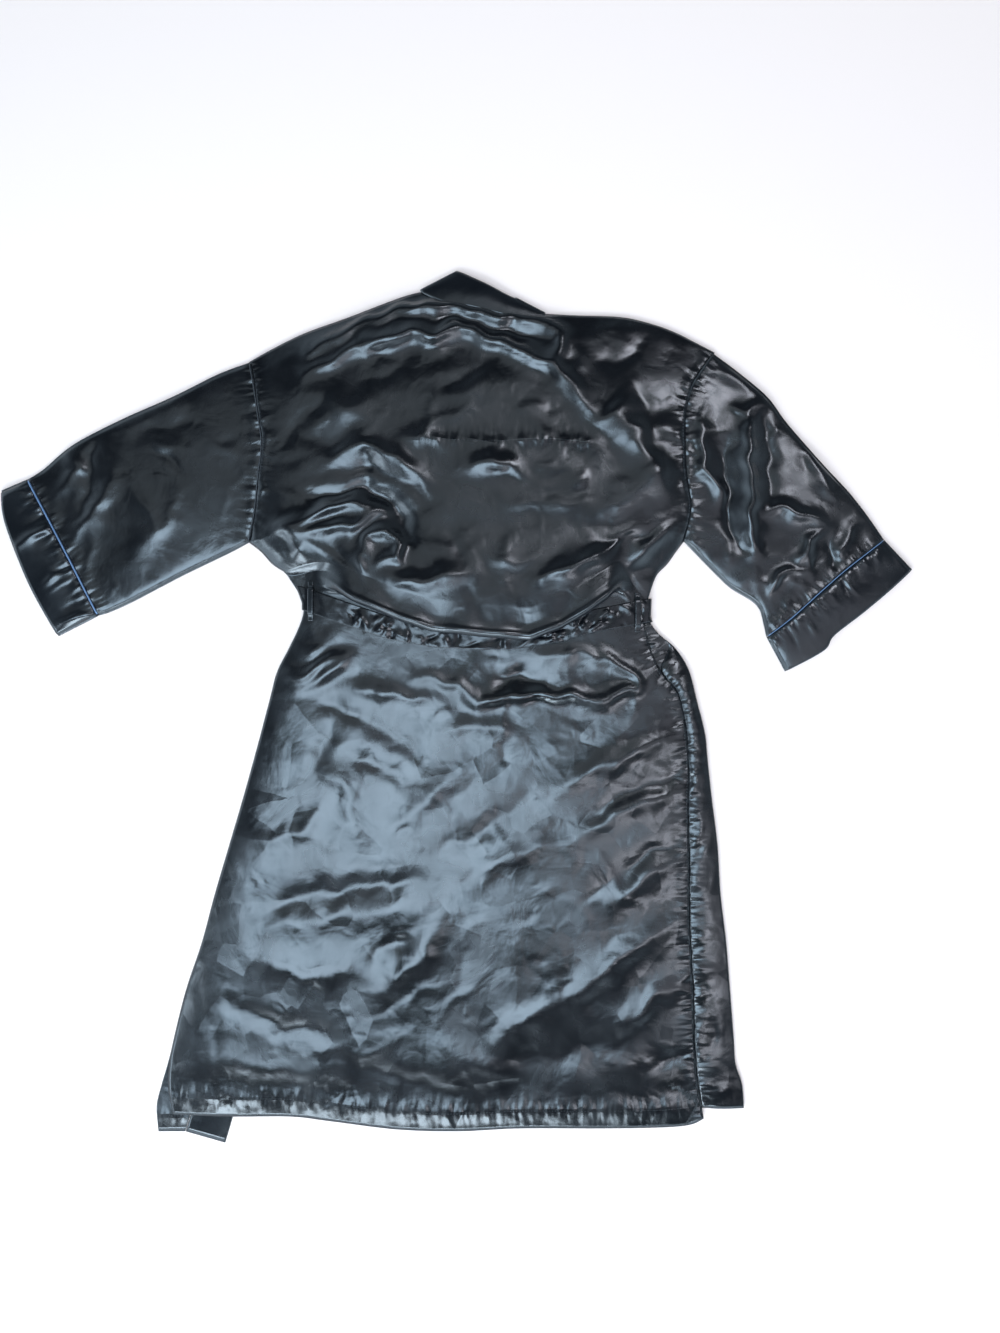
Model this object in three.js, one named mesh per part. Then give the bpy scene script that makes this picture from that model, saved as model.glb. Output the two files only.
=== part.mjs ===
// A short satin dressing gown laid out flat with its back upwards: millimetres, +Z up, +Y towards the
// neck, +X towards the wearer's right. Every cut piece is a thin wall of cloth with its own two faces.
import * as THREE from "three";

const CLOTH = 1.1;              // wall of every panel
const SEAM_GAP = 0.4;           // clear space between two pieces that are sewn together
const BELT_WIDTH = 25;
const BAND_WIDTH = 44;          // finished width of the neckband
const EDGE_RISE = 24;           // distance over which the back swells up from its edges
const BACK_EDGE = 2.4;          // height of the back's middle surface at the side seams and shoulders
const FRONT_LIE = CLOTH / 2;    // height of a front's middle surface where it lies on the floor
const KNOT_THICK = 1.8;          // the flattened knot under the belt
const KNOT_LIFT = 3.7;          // how far knot and belt together hold the fronts up
const BELT_LIFT = 1.6;          // how far the belt alone holds them up
const WRAP_RADIUS = 1.7;        // turn of the right front round the skirt's right edge

// ---------------------------------------------------------------- outlines in plan, x and y in mm
const outline = {
  shoulderLeft: [[-223, 370], [-198, 384], [-163, 401], [-116, 418], [-72, 435], [-48, 443], [-34, 446]],
  neckline: [[-34, 446], [-12, 439], [12, 436], [36, 430], [62, 424], [90, 422]],
  shoulderRight: [[90, 422], [127, 420], [177, 418], [212, 410], [236, 401], [254, 392], [277, 380]],
  armholeLeft: [[-224, 177], [-217, 209], [-213, 247], [-209, 281], [-214, 318], [-218, 344], [-223, 370]],
  armholeRight: [[245, 179], [252, 214], [246, 253], [245, 285], [246, 318], [253, 344], [266, 365],
    [277, 380]],
  bodiceLeft: [[-184, 144], [-198, 153], [-210, 166], [-224, 177]],
  bodiceRight: [[206, 118], [214, 140], [226, 153], [236, 167], [245, 179]],
  skirtLeft: [[-305, -438], [-310, -410], [-309, -384], [-304, -357], [-291, -305], [-274, -254],
    [-260, -202], [-245, -151], [-230, -100], [-215, -46], [-201, 7], [-193, 37], [-180, 63], [-167, 91],
    [-163, 112]],
  seamRight: [[265, -442], [258, -397], [255, -348], [254, -299], [250, -234], [250, -175], [249, -119],
    [250, -70], [246, -21], [238, 14], [220, 37], [208, 62], [201, 92]],
  edgeRight: [[308, -431], [306, -406], [299, -384], [297, -357], [293, -305], [289, -254], [283, -202],
    [280, -151], [274, -100], [270, -62], [267, -30], [259, 3], [250, 38], [236, 62], [216, 79], [206, 96],
    [206, 118]],
  hem: [[-305, -438], [-244, -440], [-178, -440], [-136, -445], [-65, -454], [1, -456], [68, -453],
    [153, -453], [217, -452], [250, -449], [265, -442]],
  beltLine: [[-168, 117], [-122, 101], [-72, 84], [-25, 76], [27, 73], [62, 74], [113, 82], [148, 92],
    [205, 103]],
  rollLine: [[-168, 131], [-120, 117], [-87, 103], [-56, 90], [-28, 81], [25, 75], [78, 71], [110, 83],
    [138, 99], [166, 119], [190, 132], [211, 140]],
  bandLeft: [[-292, -457], [-285, -433], [-249, -313], [-207, -194], [-158, -83], [-96, 20], [-35, 99],
    [-13, 150], [-7, 200], [-9, 245], [-16, 324], [-27, 399], [-34, 444]],
  bandRight: [[194, -421], [180, -307], [152, -173], [106, -51], [51, 41], [12, 104], [1, 140], [12, 180],
    [36, 238], [67, 315], [86, 387], [90, 420]],
  cuffSeamLeft: [[-385, 98], [-411, 150], [-436, 198], [-461, 244]],
  cuffEdgeLeft: [[-428, 76], [-456, 127], [-476, 175], [-486, 205], [-489, 232]],
  cuffSeamRight: [[333, 75], [360, 96], [391, 124], [415, 145], [438, 163], [459, 179]],
  cuffEdgeRight: [[353, 38], [393, 60], [404, 76], [436, 101], [466, 126], [489, 147]],
  sleeveTopLeft: [[-223, 370], [-258, 357], [-306, 333], [-364, 307], [-413, 281], [-444, 255], [-461, 244]],
  sleeveTopRight: [[277, 380], [306, 358], [335, 333], [354, 307], [376, 281], [399, 255], [422, 230],
    [442, 204], [459, 179]],
  sleeveUnderLeft: [[-224, 177], [-244, 166], [-297, 140], [-346, 114], [-372, 102], [-385, 98]],
  sleeveUnderRight: [[245, 179], [258, 165], [282, 140], [296, 127], [317, 114], [326, 104], [330, 89],
    [333, 75]],
};

// ---------------------------------------------------------------- heights of the laid cloth, in mm
const SKIRT_SWELL = [   // y, height of the back's middle surface above the floor, well inside the edges
  [-456, 3.2], [-430, 4.6], [-380, 7.5], [-280, 8.5], [-160, 9.5], [-60, 9.5], [20, 9.6], [70, 9.6],
  [120, 9.4]];
const BODICE_SWELL = [  // y, height
  [70, 25], [110, 25], [150, 22], [200, 18], [260, 16], [330, 14], [390, 10], [430, 6], [450, 4.5]];
const FOLDS = [         // x0, y0, x1, y1, half width, height: the broad soft ridges (+) and troughs (-)
  [-262, 215, -150, 140, 20, 5.0],
  [-190, 205, -70, 225, 18, 4.0],
  [-60, 205, -110, 255, 16, -4.0],
  [-205, 350, -20, 415, 16, 3.5],
  [60, 395, 150, 300, 22, 3.5],
  [120, 250, 205, 195, 20, 4.0],
  [150, 100, 245, 215, 14, 3.5],
  [-160, 62, -60, 30, 12, 3.5],
  [-185, 20, -100, 50, 11, 3.0],
  [0, 15, 130, 5, 16, 3.5],
  [130, 10, 195, 55, 12, 4.0],
  [-120, -190, 20, -120, 34, 3.0],
  [-90, -330, 60, -260, 36, -3.0],
  [120, -310, 240, -220, 26, 3.5],
  [110, -160, 240, -90, 24, 3.0],
  [-250, -330, -150, -210, 30, 2.5],
  [300, 300, 318, 165, 14, 8.0],
  [288, 255, 292, 180, 9, -4.0],
  [375, 215, 398, 170, 17, 4.5],
  [330, 300, 380, 235, 18, 3.5],
  [-430, 250, -340, 150, 26, 3.5],
  [-300, 300, -330, 190, 28, -1.2],
];
const TUCK = [          // the bloused roll over the belt: how far from the root (0) to the roll's lip (1),
  [0, -9, 0.0],         // extra y, and height over the waist
  [0, -2, 0.4],
  [0, 2.6, 2.4],
  [0, 1.6, 4.8],
  [0.5, 0, 5.4],
  [1, 3.0, 5.9],
  [1, 0, 8.6],
  [1, 1.8, 12.6],
  [1, 8, 15.6],
  [1, 20, 16.8],
];

// ---------------------------------------------------------------- small helpers
const clamp = (t) => Math.min(1, Math.max(0, t));
const smooth = (a, b, t) => {
  const s = clamp((t - a) / (b - a));
  return s * s * (3 - 2 * s);
};
const mix = (a, b, t) => a + (b - a) * t;

// A smooth plan curve through the given points: t runs from 0 to 1 by length.
function curve(...parts) {
  const points = parts.flat().filter((p, i, all) => i === 0 || Math.hypot(p[0] - all[i - 1][0],
    p[1] - all[i - 1][1]) > 0.5);
  const spline = new THREE.SplineCurve(points.map(([x, y]) => new THREE.Vector2(x, y)));
  spline.arcLengthDivisions = 400;
  return (t) => spline.getPointAt(clamp(t));
}

// Several smooth curves end to end, each keeping its own corner with the next.
function chain(...parts) {
  const curves = parts.map((points) => curve(points));
  const lengths = parts.map((points) => points.slice(1).reduce((sum, [x, y], i) => sum
    + Math.hypot(x - points[i][0], y - points[i][1]), 0));
  const total = lengths.reduce((a, b) => a + b, 0);
  return (t) => {
    let rest = clamp(t) * total;
    let i = 0;
    while (i < curves.length - 1 && rest > lengths[i]) {
      rest -= lengths[i];
      i++;
    }
    return curves[i](rest / lengths[i]);
  };
}

// A value read from a two-column table, smoothed between its rows.
function tableAt(table, x) {
  let i = 0;
  while (i < table.length - 2 && x > table[i + 1][0]) i++;
  return mix(table[i][1], table[i + 1][1], smooth(table[i][0], table[i + 1][0], x));
}

// The y of a left-to-right line at a given x.
function lineAt(points, x) {
  let i = 0;
  while (i < points.length - 2 && x > points[i + 1][0]) i++;
  const [x0, y0] = points[i];
  const [x1, y1] = points[i + 1];
  return mix(y0, y1, clamp((x - x0) / (x1 - x0)));
}

// The point (u, v) of a patch that fills four curves: bottom, top, left and right.
function patch(bottom, top, left, right) {
  return (u, v) => {
    const [b, t, l, r] = [bottom(u), top(u), left(v), right(v)];
    const [b0, b1, t0, t1] = [bottom(0), bottom(1), top(0), top(1)];
    const at = (k) => (1 - v) * b[k] + v * t[k] + (1 - u) * l[k] + u * r[k]
      - ((1 - u) * (1 - v) * b0[k] + u * (1 - v) * b1[k] + (1 - u) * v * t0[k] + u * v * t1[k]);
    return new THREE.Vector2(at("x"), at("y"));
  };
}

// The height that the broad folds add at a point.
function foldsAt(x, y) {
  let sum = 0;
  for (const [x0, y0, x1, y1, half, height] of FOLDS) {
    const length = Math.hypot(x1 - x0, y1 - y0);
    const along = ((x - x0) * (x1 - x0) + (y - y0) * (y1 - y0)) / length;
    const off = ((x - x0) * (y1 - y0) - (y - y0) * (x1 - x0)) / length;
    const past = Math.max(0, -along, along - length);
    sum += height * Math.exp(-((off / half) ** 2) - (past / (half * 1.3)) ** 2);
  }
  return sum;
}

// A wall of cloth over a grid of middle-surface points rows[j][i]: the outer face lies half the thickness
// along the normals and the inner face half against them. `ring` closes each row on itself.
function wall(name, rows, colour, ring = false, thickness = CLOTH) {
  const nv = rows.length;
  const nu = rows[0].length;
  const at = (i, j) => rows[j][ring ? (i + nu) % nu : Math.min(nu - 1, Math.max(0, i))];
  const positions = [];
  for (const side of [0.5, -0.5]) {
    for (let j = 0; j < nv; j++) {
      for (let i = 0; i < nu; i++) {
        const across = at(i + 1, j).clone().sub(at(i - 1, j));
        const along = at(i, Math.min(nv - 1, j + 1)).clone().sub(at(i, Math.max(0, j - 1)));
        const normal = across.cross(along).normalize();
        positions.push(...at(i, j).clone().addScaledVector(normal, side * thickness).toArray());
      }
    }
  }
  const index = [];
  const id = (side, i, j) => side * nu * nv + j * nu + (i % nu);
  const quad = (a, b, c, d) => index.push(a, b, c, a, c, d);
  const cells = ring ? nu : nu - 1;
  for (let j = 0; j < nv - 1; j++) {
    for (let i = 0; i < cells; i++) {
      quad(id(0, i, j), id(0, i + 1, j), id(0, i + 1, j + 1), id(0, i, j + 1));
      quad(id(1, i, j), id(1, i, j + 1), id(1, i + 1, j + 1), id(1, i + 1, j));
    }
  }
  for (let i = 0; i < cells; i++) {
    quad(id(0, i, 0), id(1, i, 0), id(1, i + 1, 0), id(0, i + 1, 0));
    quad(id(0, i, nv - 1), id(0, i + 1, nv - 1), id(1, i + 1, nv - 1), id(1, i, nv - 1));
  }
  if (!ring) {
    for (let j = 0; j < nv - 1; j++) {
      quad(id(0, 0, j), id(0, 0, j + 1), id(1, 0, j + 1), id(1, 0, j));
      quad(id(0, nu - 1, j), id(1, nu - 1, j), id(1, nu - 1, j + 1), id(0, nu - 1, j + 1));
    }
  }
  const geometry = new THREE.BufferGeometry();
  geometry.setAttribute("position", new THREE.Float32BufferAttribute(positions, 3));
  geometry.setIndex(index);
  geometry.computeVertexNormals();
  const mesh = new THREE.Mesh(geometry, new THREE.MeshStandardMaterial({ color: colour, roughness: 0.35 }));
  mesh.name = name;
  return mesh;
}

// ---------------------------------------------------------------- heights
const beltY = (x) => lineAt(outline.beltLine, x);
const rollY = (x) => lineAt(outline.rollLine, x);
const rootY = (x) => Math.max(beltY(x) + BELT_WIDTH / 2 + 4, rollY(x) + 5);
const rollFull = (x) => smooth(-154, -108, x) * (1 - smooth(158, 191, x));

// How far the fronts are held up by what lies under them: the belt, its knot and its tails.
function heldUp(x, y) {
  const fromBelt = Math.abs(y - beltY(x));
  const overBelt = BELT_LIFT * (1 - smooth(28, 44, fromBelt));
  const fromKnot = Math.max(Math.abs(x - 2) - 4, Math.abs(y - 72) - 4);
  const overKnot = KNOT_LIFT * (1 - smooth(38, 58, fromKnot));
  const tailSpread = 12 + 0.16 * (72 - y);
  const besideTails = 1 - smooth(34, 52, Math.abs(x + 2) - tailSpread);
  const overTails = y < 80 ? BELT_LIFT * besideTails * smooth(-330, -296, y) : 0;
  return Math.max(overBelt, overKnot, overTails);
}
const frontRightZ = (x, y) => FRONT_LIE + heldUp(x, y);
const overlapLift = (x, y) => 3.2 * (1 - smooth(66, 92, Math.abs(x + 2))) * smooth(34, 58, y)
  * (1 - smooth(345, 372, y));
const frontLeftZ = (x, y) => frontRightZ(x, y) + overlapLift(x, y);
const inward = (distance) => 1 - Math.exp(-Math.max(0, distance) / EDGE_RISE);
const WAIST = { left: -163, right: 203, y: 100 };
const waistZ = (x) => mix(BACK_EDGE + BELT_LIFT, tableAt(SKIRT_SWELL, WAIST.y),
  inward(Math.min(x - WAIST.left, WAIST.right - x)));
const ARMHOLE_SWELL = 5.2;
const armholeZ = (q) => BACK_EDGE + ARMHOLE_SWELL * Math.sin(Math.PI * clamp(q)) ** 0.8;

// ---------------------------------------------------------------- the back
const UP = { skirt: 22, bodice: 17 };
const ACROSS = 28;
function backRows() {
  const rows = [];
  const left = curve(outline.skirtLeft);
  const right = curve(outline.seamRight);
  const low = (u) => {
    const x = mix(-163, 201, u);
    const inner = smooth(0, 0.16, u) * (1 - smooth(0.86, 1, u));
    return new THREE.Vector2(x, mix(mix(112, 92, u), rootY(x) - 22, inner));
  };
  const high = (u) => {
    const x = mix(-184, 206, u);
    const inner = smooth(0, 0.14, u) * (1 - smooth(0.9, 1, u));
    return new THREE.Vector2(x, mix(mix(144, 118, u), rollY(x) + 30, inner));
  };
  const skirt = patch(curve(outline.hem), low, left, right);
  const bodice = patch(high, chain(outline.shoulderLeft, outline.neckline, outline.shoulderRight),
    chain(outline.bodiceLeft, outline.armholeLeft), chain(outline.bodiceRight, outline.armholeRight));
  const wrapLift = (y) => 1.6 * (1 - smooth(40, 110, y));
  for (let j = 0; j < UP.skirt; j++) {
    const v = j / (UP.skirt - 1);
    const row = [];
    for (let i = 0; i <= ACROSS; i++) {
      const u = i / ACROSS;
      const p = skirt(u, v);
      const rise = inward(Math.min(u, 1 - u) * mix(570, 372, v));
      const edge = BACK_EDGE + Math.max(heldUp(p.x, p.y), wrapLift(p.y) * u);
      const folded = foldsAt(p.x, p.y) * rise * (1 - smooth(30, 62, p.y)) * smooth(-456, -400, p.y);
      row.push(new THREE.Vector3(p.x, p.y, mix(edge, tableAt(SKIRT_SWELL, p.y), rise) + folded));
    }
    rows.push(row);
  }
  for (const [toLip, extra, height] of TUCK) {
    const n = TUCK.length - 1;
    const k = TUCK.findIndex((t) => t[2] === height) / n;
    const row = [];
    for (let i = 0; i <= ACROSS; i++) {
      const u = i / ACROSS;
      const [a, b] = [low(u), high(u)];
      const flat = mix(a.y, b.y, mix(0.12, 0.9, k));
      const x = mix(a.x, b.x, mix(0.12, 0.9, k));
      const full = rollFull(x);
      const folded = mix(rootY(x), rollY(x), toLip) + extra;
      row.push(new THREE.Vector3(x, mix(flat, folded, full), waistZ(x) + height * full));
    }
    rows.push(row);
  }
  for (let j = 0; j < UP.bodice; j++) {
    const v = j / (UP.bodice - 1);
    const row = [];
    for (let i = 0; i <= ACROSS; i++) {
      const u = i / ACROSS;
      const p = bodice(u, v);
      const rise = inward(Math.min(u, 1 - u) * mix(397, 480, v));
      const q = 1 - clamp((p.y - 178) / 200);
      const atArmhole = smooth(170, 186, p.y);
      const edge = mix(BACK_EDGE + heldUp(p.x, p.y), armholeZ(q), atArmhole);
      const towardsTop = 1 - Math.exp(-(1 - v) * 300 / 26);
      const full = mix(rollFull(p.x), 1, smooth(110, 190, p.y));
      const swell = mix(tableAt(SKIRT_SWELL, 100), tableAt(BODICE_SWELL, p.y), full);
      const body = mix(edge, swell, rise) + foldsAt(p.x, p.y) * rise * smooth(0, 0.16, v);
      row.push(new THREE.Vector3(p.x, p.y, mix(BACK_EDGE, body, towardsTop)));
    }
    rows.push(row);
  }
  return rows;
}

// ---------------------------------------------------------------- the fronts, lying under the back
const FRONT_ROWS = 30;
const TURN_SHARE = 0.012;       // share of the right front's width kept for its turned edge
const NARROWEST_STRIP = 4;
function frontLeftRows() {
  const side = chain([[-321, -457], [-323, -430], [-318, -408], [-311, -384], ...outline.skirtLeft.slice(3)],
    [[-163, 112], ...outline.bodiceLeft], outline.armholeLeft);
  const top = curve([[-223, 370], [-198, 384], [-163, 401], [-116, 418], [-72, 435], [-48, 442], [-34, 444]]);
  const panel = patch(curve([[-321, -457], [-292, -457]]), top, side, curve(outline.bandLeft));
  const rows = [];
  for (let j = 0; j <= FRONT_ROWS; j++) {
    const row = [];
    for (let i = 0; i <= 8; i++) {
      const p = panel(i / 8, j / FRONT_ROWS);
      row.push(new THREE.Vector3(p.x, p.y, frontLeftZ(p.x, p.y)));
    }
    rows.push(row);
  }
  return rows;
}

function frontRightRows() {
  const side = chain(outline.edgeRight, outline.bodiceRight, outline.armholeRight);
  const top = curve([[90, 420], [127, 418], [177, 416], [212, 409], [236, 401], [254, 392], [277, 380]]);
  const panel = patch(curve([[194, -421], [308, -431]]), top, curve(outline.bandRight), side);
  const rows = [];
  for (let j = 0; j <= FRONT_ROWS; j++) {
    const row = [];
    const v = j / FRONT_ROWS;
    const edge = side(v);
    const wrapped = 1 - smooth(34, 78, edge.y);
    for (let i = 0; i <= 8; i++) {
      const p = panel((i / 8) * (1 - TURN_SHARE), v);
      row.push(new THREE.Vector3(p.x, p.y, frontRightZ(p.x, p.y)));
    }
    // The same row goes on round the skirt's edge and back over the top to the side seam; above the waist
    // these columns lie flat in the panel's last few millimetres.
    const start = row[row.length - 1];
    const over = edge.x - start.x;
    const strip = edge.x < WAIST.right + 4 ? NARROWEST_STRIP
      : Math.max(NARROWEST_STRIP, edge.x - seamX(edge.y) - SEAM_GAP - WRAP_RADIUS);
    for (let k = 1; k <= 4; k++) {
      const turn = (k / 4) * Math.PI * wrapped;
      const flat = start.x + over * 0.18 * k;
      const round = start.x + Math.sin(turn) * WRAP_RADIUS;
      const y = start.y + (edge.y - start.y) * (k / 4) * (1 - wrapped);
      row.push(new THREE.Vector3(mix(flat, round, wrapped), y, start.z + (1 - Math.cos(turn)) * WRAP_RADIUS));
    }
    const last = row[row.length - 1];
    for (const share of [0.5, 1]) {
      const flat = mix(last.x, edge.x, share * 0.95);
      const folded = last.x + (over - strip) * share;
      row.push(new THREE.Vector3(mix(flat, folded, wrapped), last.y, last.z));
    }
    rows.push(row);
  }
  return rows;
}
function seamX(y) {
  const points = outline.seamRight.map(([x, yy]) => [yy, x]);
  return lineAt(points, y);
}

// ---------------------------------------------------------------- sleeves and cuffs: flattened tubes
const TUBE_SWELL = 1.6;         // how much more a sleeve or cuff stands up half-way along it
function tubeRows(start, end, under, over, stations, height, foldShare) {
  const plan = patch(start, end, under, over);
  const rows = [];
  const around = 11;
  for (let j = 0; j <= stations; j++) {
    const v = j / stations;
    const row = [];
    const place = (q, z) => {
      const p = plan(v, q);
      row.push(new THREE.Vector3(p.x, p.y, z(p)));
    };
    const [a, b] = [plan(v, 0), plan(v, 1)];
    const inset = 1.4 / a.distanceTo(b);
    for (let i = 0; i <= around; i++) place(mix(inset, 1 - inset, i / around), () => FRONT_LIE);
    place(1, () => FRONT_LIE + 0.95);
    for (let i = around; i >= 0; i--) {
      const q = mix(inset, 1 - inset, i / around);
      const dome = Math.sin(Math.PI * clamp((q - inset) / (1 - 2 * inset))) ** 0.8;
      const swell = mix(height[0], height[1], v) + TUBE_SWELL * Math.sin(Math.PI * v);
      place(q, (p) => BACK_EDGE + dome * (swell + foldShare(v) * foldsAt(p.x, p.y)));
    }
    place(0, () => FRONT_LIE + 0.95);
    rows.push(row);
  }
  return rows;
}
const shifted = (points, dx, dy = 0) => curve(points.map(([x, y]) => [x + dx, y + dy]));
// Here the patch's u runs along the sleeve and its v across, so armhole and cuff seam are "left" and "right".
function sleeveRows(side) {
  const left = side === "left";
  const away = left ? -1 : 1;
  const under = curve(left ? outline.sleeveUnderLeft : outline.sleeveUnderRight);
  const over = curve(left ? outline.sleeveTopLeft : outline.sleeveTopRight);
  const armholeShift = [away * (SEAM_GAP + 0.8), left ? 0 : -0.7];
  const armhole = shifted(left ? outline.armholeLeft : outline.armholeRight, ...armholeShift);
  const cuffSeam = curve(left ? outline.cuffSeamLeft : outline.cuffSeamRight);
  const foldShare = (v) => smooth(0, 0.15, v) * (1 - smooth(0.85, 1, v));
  return tubeRows(under, over, armhole, cuffSeam, 9, [ARMHOLE_SWELL, 4.6], foldShare);
}
function cuffRows(side) {
  const left = side === "left";
  const seam = left ? outline.cuffSeamLeft : outline.cuffSeamRight;
  const edge = left ? outline.cuffEdgeLeft : outline.cuffEdgeRight;
  const away = left ? [-0.5, -0.25] : [0.4, -0.5];
  const shift = (p) => [p[0] + away[0], p[1] + away[1]];
  const [s0, s1] = [shift(seam[0]), shift(seam[seam.length - 1])];
  const under = curve([s0, edge[0]]);
  const over = curve([s1, edge[edge.length - 1]]);
  return tubeRows(under, over, curve(seam.map(shift)), curve(edge), 3, [4.6, 5.6], () => 0);
}

// ---------------------------------------------------------------- the neckband: one long ribbon
const NECK = [   // seam x, y, height, then free edge x, y, height: round the back of the neck
  [-32.6, 445, 0.9, 8, 459, 0.9],
  [-37.5, 448.6, 1.65, -1, 467, 1.65],
  [-33.5, 448, 2.45, 5, 465, 2.7],
  [-12, 440.4, 2.5, 19, 459.5, 4.0],
  [12, 437.3, 2.5, 34, 452.5, 4.4],
  [36, 431.3, 2.5, 47, 445.5, 4.0],
  [62, 425.4, 2.5, 56, 441, 3.4],
  [90.5, 423.6, 2.45, 61.5, 438.6, 2.7],
  [94, 424.2, 1.65, 63, 438.2, 1.65],
  [88.2, 421, 0.9, 50, 424, 0.9],
];
function bandRows() {
  const rows = [];
  const along = (points, side, z) => {
    const seam = curve(points);
    for (let j = 0; j < FRONT_ROWS; j++) {
      const t = (side > 0 ? j : FRONT_ROWS - 1 - j) / FRONT_ROWS;
      const p = seam(t);
      const q = seam(t + 0.01);
      const way = q.sub(p).normalize();
      const out = new THREE.Vector2(way.y, -way.x).multiplyScalar(side);
      const row = [];
      for (let i = 0; i <= 3; i++) {
        const off = SEAM_GAP + 0.1 + (i / 3) * BAND_WIDTH;
        const [x, y] = [p.x + out.x * off, p.y + out.y * off];
        row.push(new THREE.Vector3(x, y, z(x, y)));
      }
      rows.push(row);
    }
  };
  along(outline.bandLeft, 1, frontLeftZ);
  for (const [sx, sy, sz, fx, fy, fz] of NECK) {
    const [seam, free] = [new THREE.Vector3(sx, sy, sz), new THREE.Vector3(fx, fy, fz)];
    rows.push([0, 1, 2, 3].map((i) => seam.clone().lerp(free, i / 3)));
  }
  along(outline.bandRight, -1, frontRightZ);
  return rows;
}

// ---------------------------------------------------------------- the belt, its knot, tails and loops
const BELT_THICK = 1.0;
const BELT_TURN_Z = 3.4;        // height at which the belt turns round the sides
const BELT_OVER_BACK = 2.3;     // belt's middle surface over the back's
const sideOut = (y) => [lineAt([[90, -163], [112, -163], [144, -184]], y) - 4.6,
  lineAt([[79, 214], [96, 205], [140, 214]], y) + 4.5];
const underBelt = (x) => BELT_THICK / 2 + 2.2 * (1 - smooth(22, 40, Math.abs(x - 2)));
function beltRows() {
  const rows = [];
  const around = 20;
  for (let j = 0; j <= 2; j++) {
    const off = (j / 2 - 0.5) * BELT_WIDTH;
    const row = [];
    const left = sideOut(beltY(-168) + off)[0];
    const right = sideOut(beltY(205) + off)[1];
    const add = (x, z) => row.push(new THREE.Vector3(x, beltY(x) + off, z));
    const xAt = (i) => mix(left + 2, right - 2, i / around);
    for (let i = 0; i <= around; i++) add(xAt(i), underBelt(xAt(i)));
    add(right, BELT_TURN_Z);
    for (let i = around; i >= 0; i--) add(xAt(i), waistZ(xAt(i)) + BELT_OVER_BACK);
    add(left, BELT_TURN_Z);
    rows.push(row);
  }
  return rows;
}
const KNOT = { left: -13, right: 17, bottom: 57, top: 89 };
function knotRows() {
  return [0, 1, 2, 3, 4].map((j) => [0, 1, 2, 3, 4].map((i) => {
    const pinch = 1 - 0.04 * Math.cos((i / 4 - 0.5) * Math.PI) * Math.abs(j / 2 - 1);
    const y = (KNOT.bottom + KNOT.top) / 2 + (KNOT.top - KNOT.bottom) * (j / 4 - 0.5) * pinch;
    return new THREE.Vector3(mix(KNOT.left, KNOT.right, i / 4), y, KNOT_THICK / 2);
  }));
}
const TAILS = { left: [[-11, 56.7], [-15, 0], [-32, -90], [-46, -186], [-52, -271]],
  right: [[16, 56.7], [22, 5], [36, -78], [42, -160], [40, -234]] };
function tailRows(side) {
  const path = curve(TAILS[side]);
  const rows = [];
  for (let j = 0; j <= 14; j++) {
    const p = path(1 - j / 14);
    rows.push([-1, 0, 1].map((i) => new THREE.Vector3(p.x + (i * BELT_WIDTH) / 2, p.y, BELT_THICK / 2)));
  }
  return rows;
}
const LOOPS = { left: { x: -156.5, footLift: 0.7 }, right: { x: 194, footLift: 0 } };
function loopRows(side) {
  const { x, footLift } = LOOPS[side];
  const bridge = [   // distance from the belt's middle line, height over the back's middle surface
    [-21, 0.95], [-17, 1.1], [-14.5, 2.4], [-12, 3.5], [0, 3.7],
    [12, 3.5], [14.5, 2.4], [17, 1.1], [21, 0.95]];
  return bridge.map(([off, rise]) => [-1, 0, 1].map((i) => new THREE.Vector3(x + i * 3, beltY(x) + off,
    waistZ(x + i * 3) + rise + 0.5 + footLift * (1 - smooth(-17, -12, off)))));
}

const SATIN = 0x1d2430;
const robe = new THREE.Group();
robe.name = "satin_robe";
const flip = (rows) => rows.map((row) => row.slice().reverse());
robe.add(wall("back", backRows(), SATIN));
robe.add(wall("front_left", frontLeftRows(), SATIN));
robe.add(wall("front_right", frontRightRows(), SATIN));
robe.add(wall("sleeve_left", sleeveRows("left"), SATIN, true));
robe.add(wall("sleeve_right", flip(sleeveRows("right")), SATIN, true));
robe.add(wall("cuff_left", cuffRows("left"), SATIN, true));
robe.add(wall("cuff_right", flip(cuffRows("right")), SATIN, true));
robe.add(wall("neckband", bandRows(), SATIN));
robe.add(wall("belt", beltRows(), SATIN, true, BELT_THICK));
robe.add(wall("belt_knot", knotRows(), SATIN, false, KNOT_THICK));
for (const side of ["left", "right"]) {
  robe.add(wall(`belt_tail_${side}`, tailRows(side), SATIN, false, BELT_THICK));
  robe.add(wall(`belt_loop_${side}`, loopRows(side), SATIN, false, BELT_THICK));
}
// The origin is the middle of the bounding box, on the surface the robe lies on.
const box = new THREE.Box3().setFromObject(robe);
const middle = box.getCenter(new THREE.Vector3());
robe.position.set(-middle.x, -middle.y, -box.min.z);

export default robe;
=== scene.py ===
# %% [markdown]
# # A satin dressing gown, laid flat with its back upwards
# The gown is cut from thin, glossy satin: a back, two wrapped fronts, two wide sleeves with turned cuffs, a
# long neckband and a tie belt. Cloth has no stiff form of its own, so each panel here is one fine grid that
# is carried onto the place it lies in, and the folds are worked into that grid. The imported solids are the
# fixed frame: they say where every panel lies and how much room it has.

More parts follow.
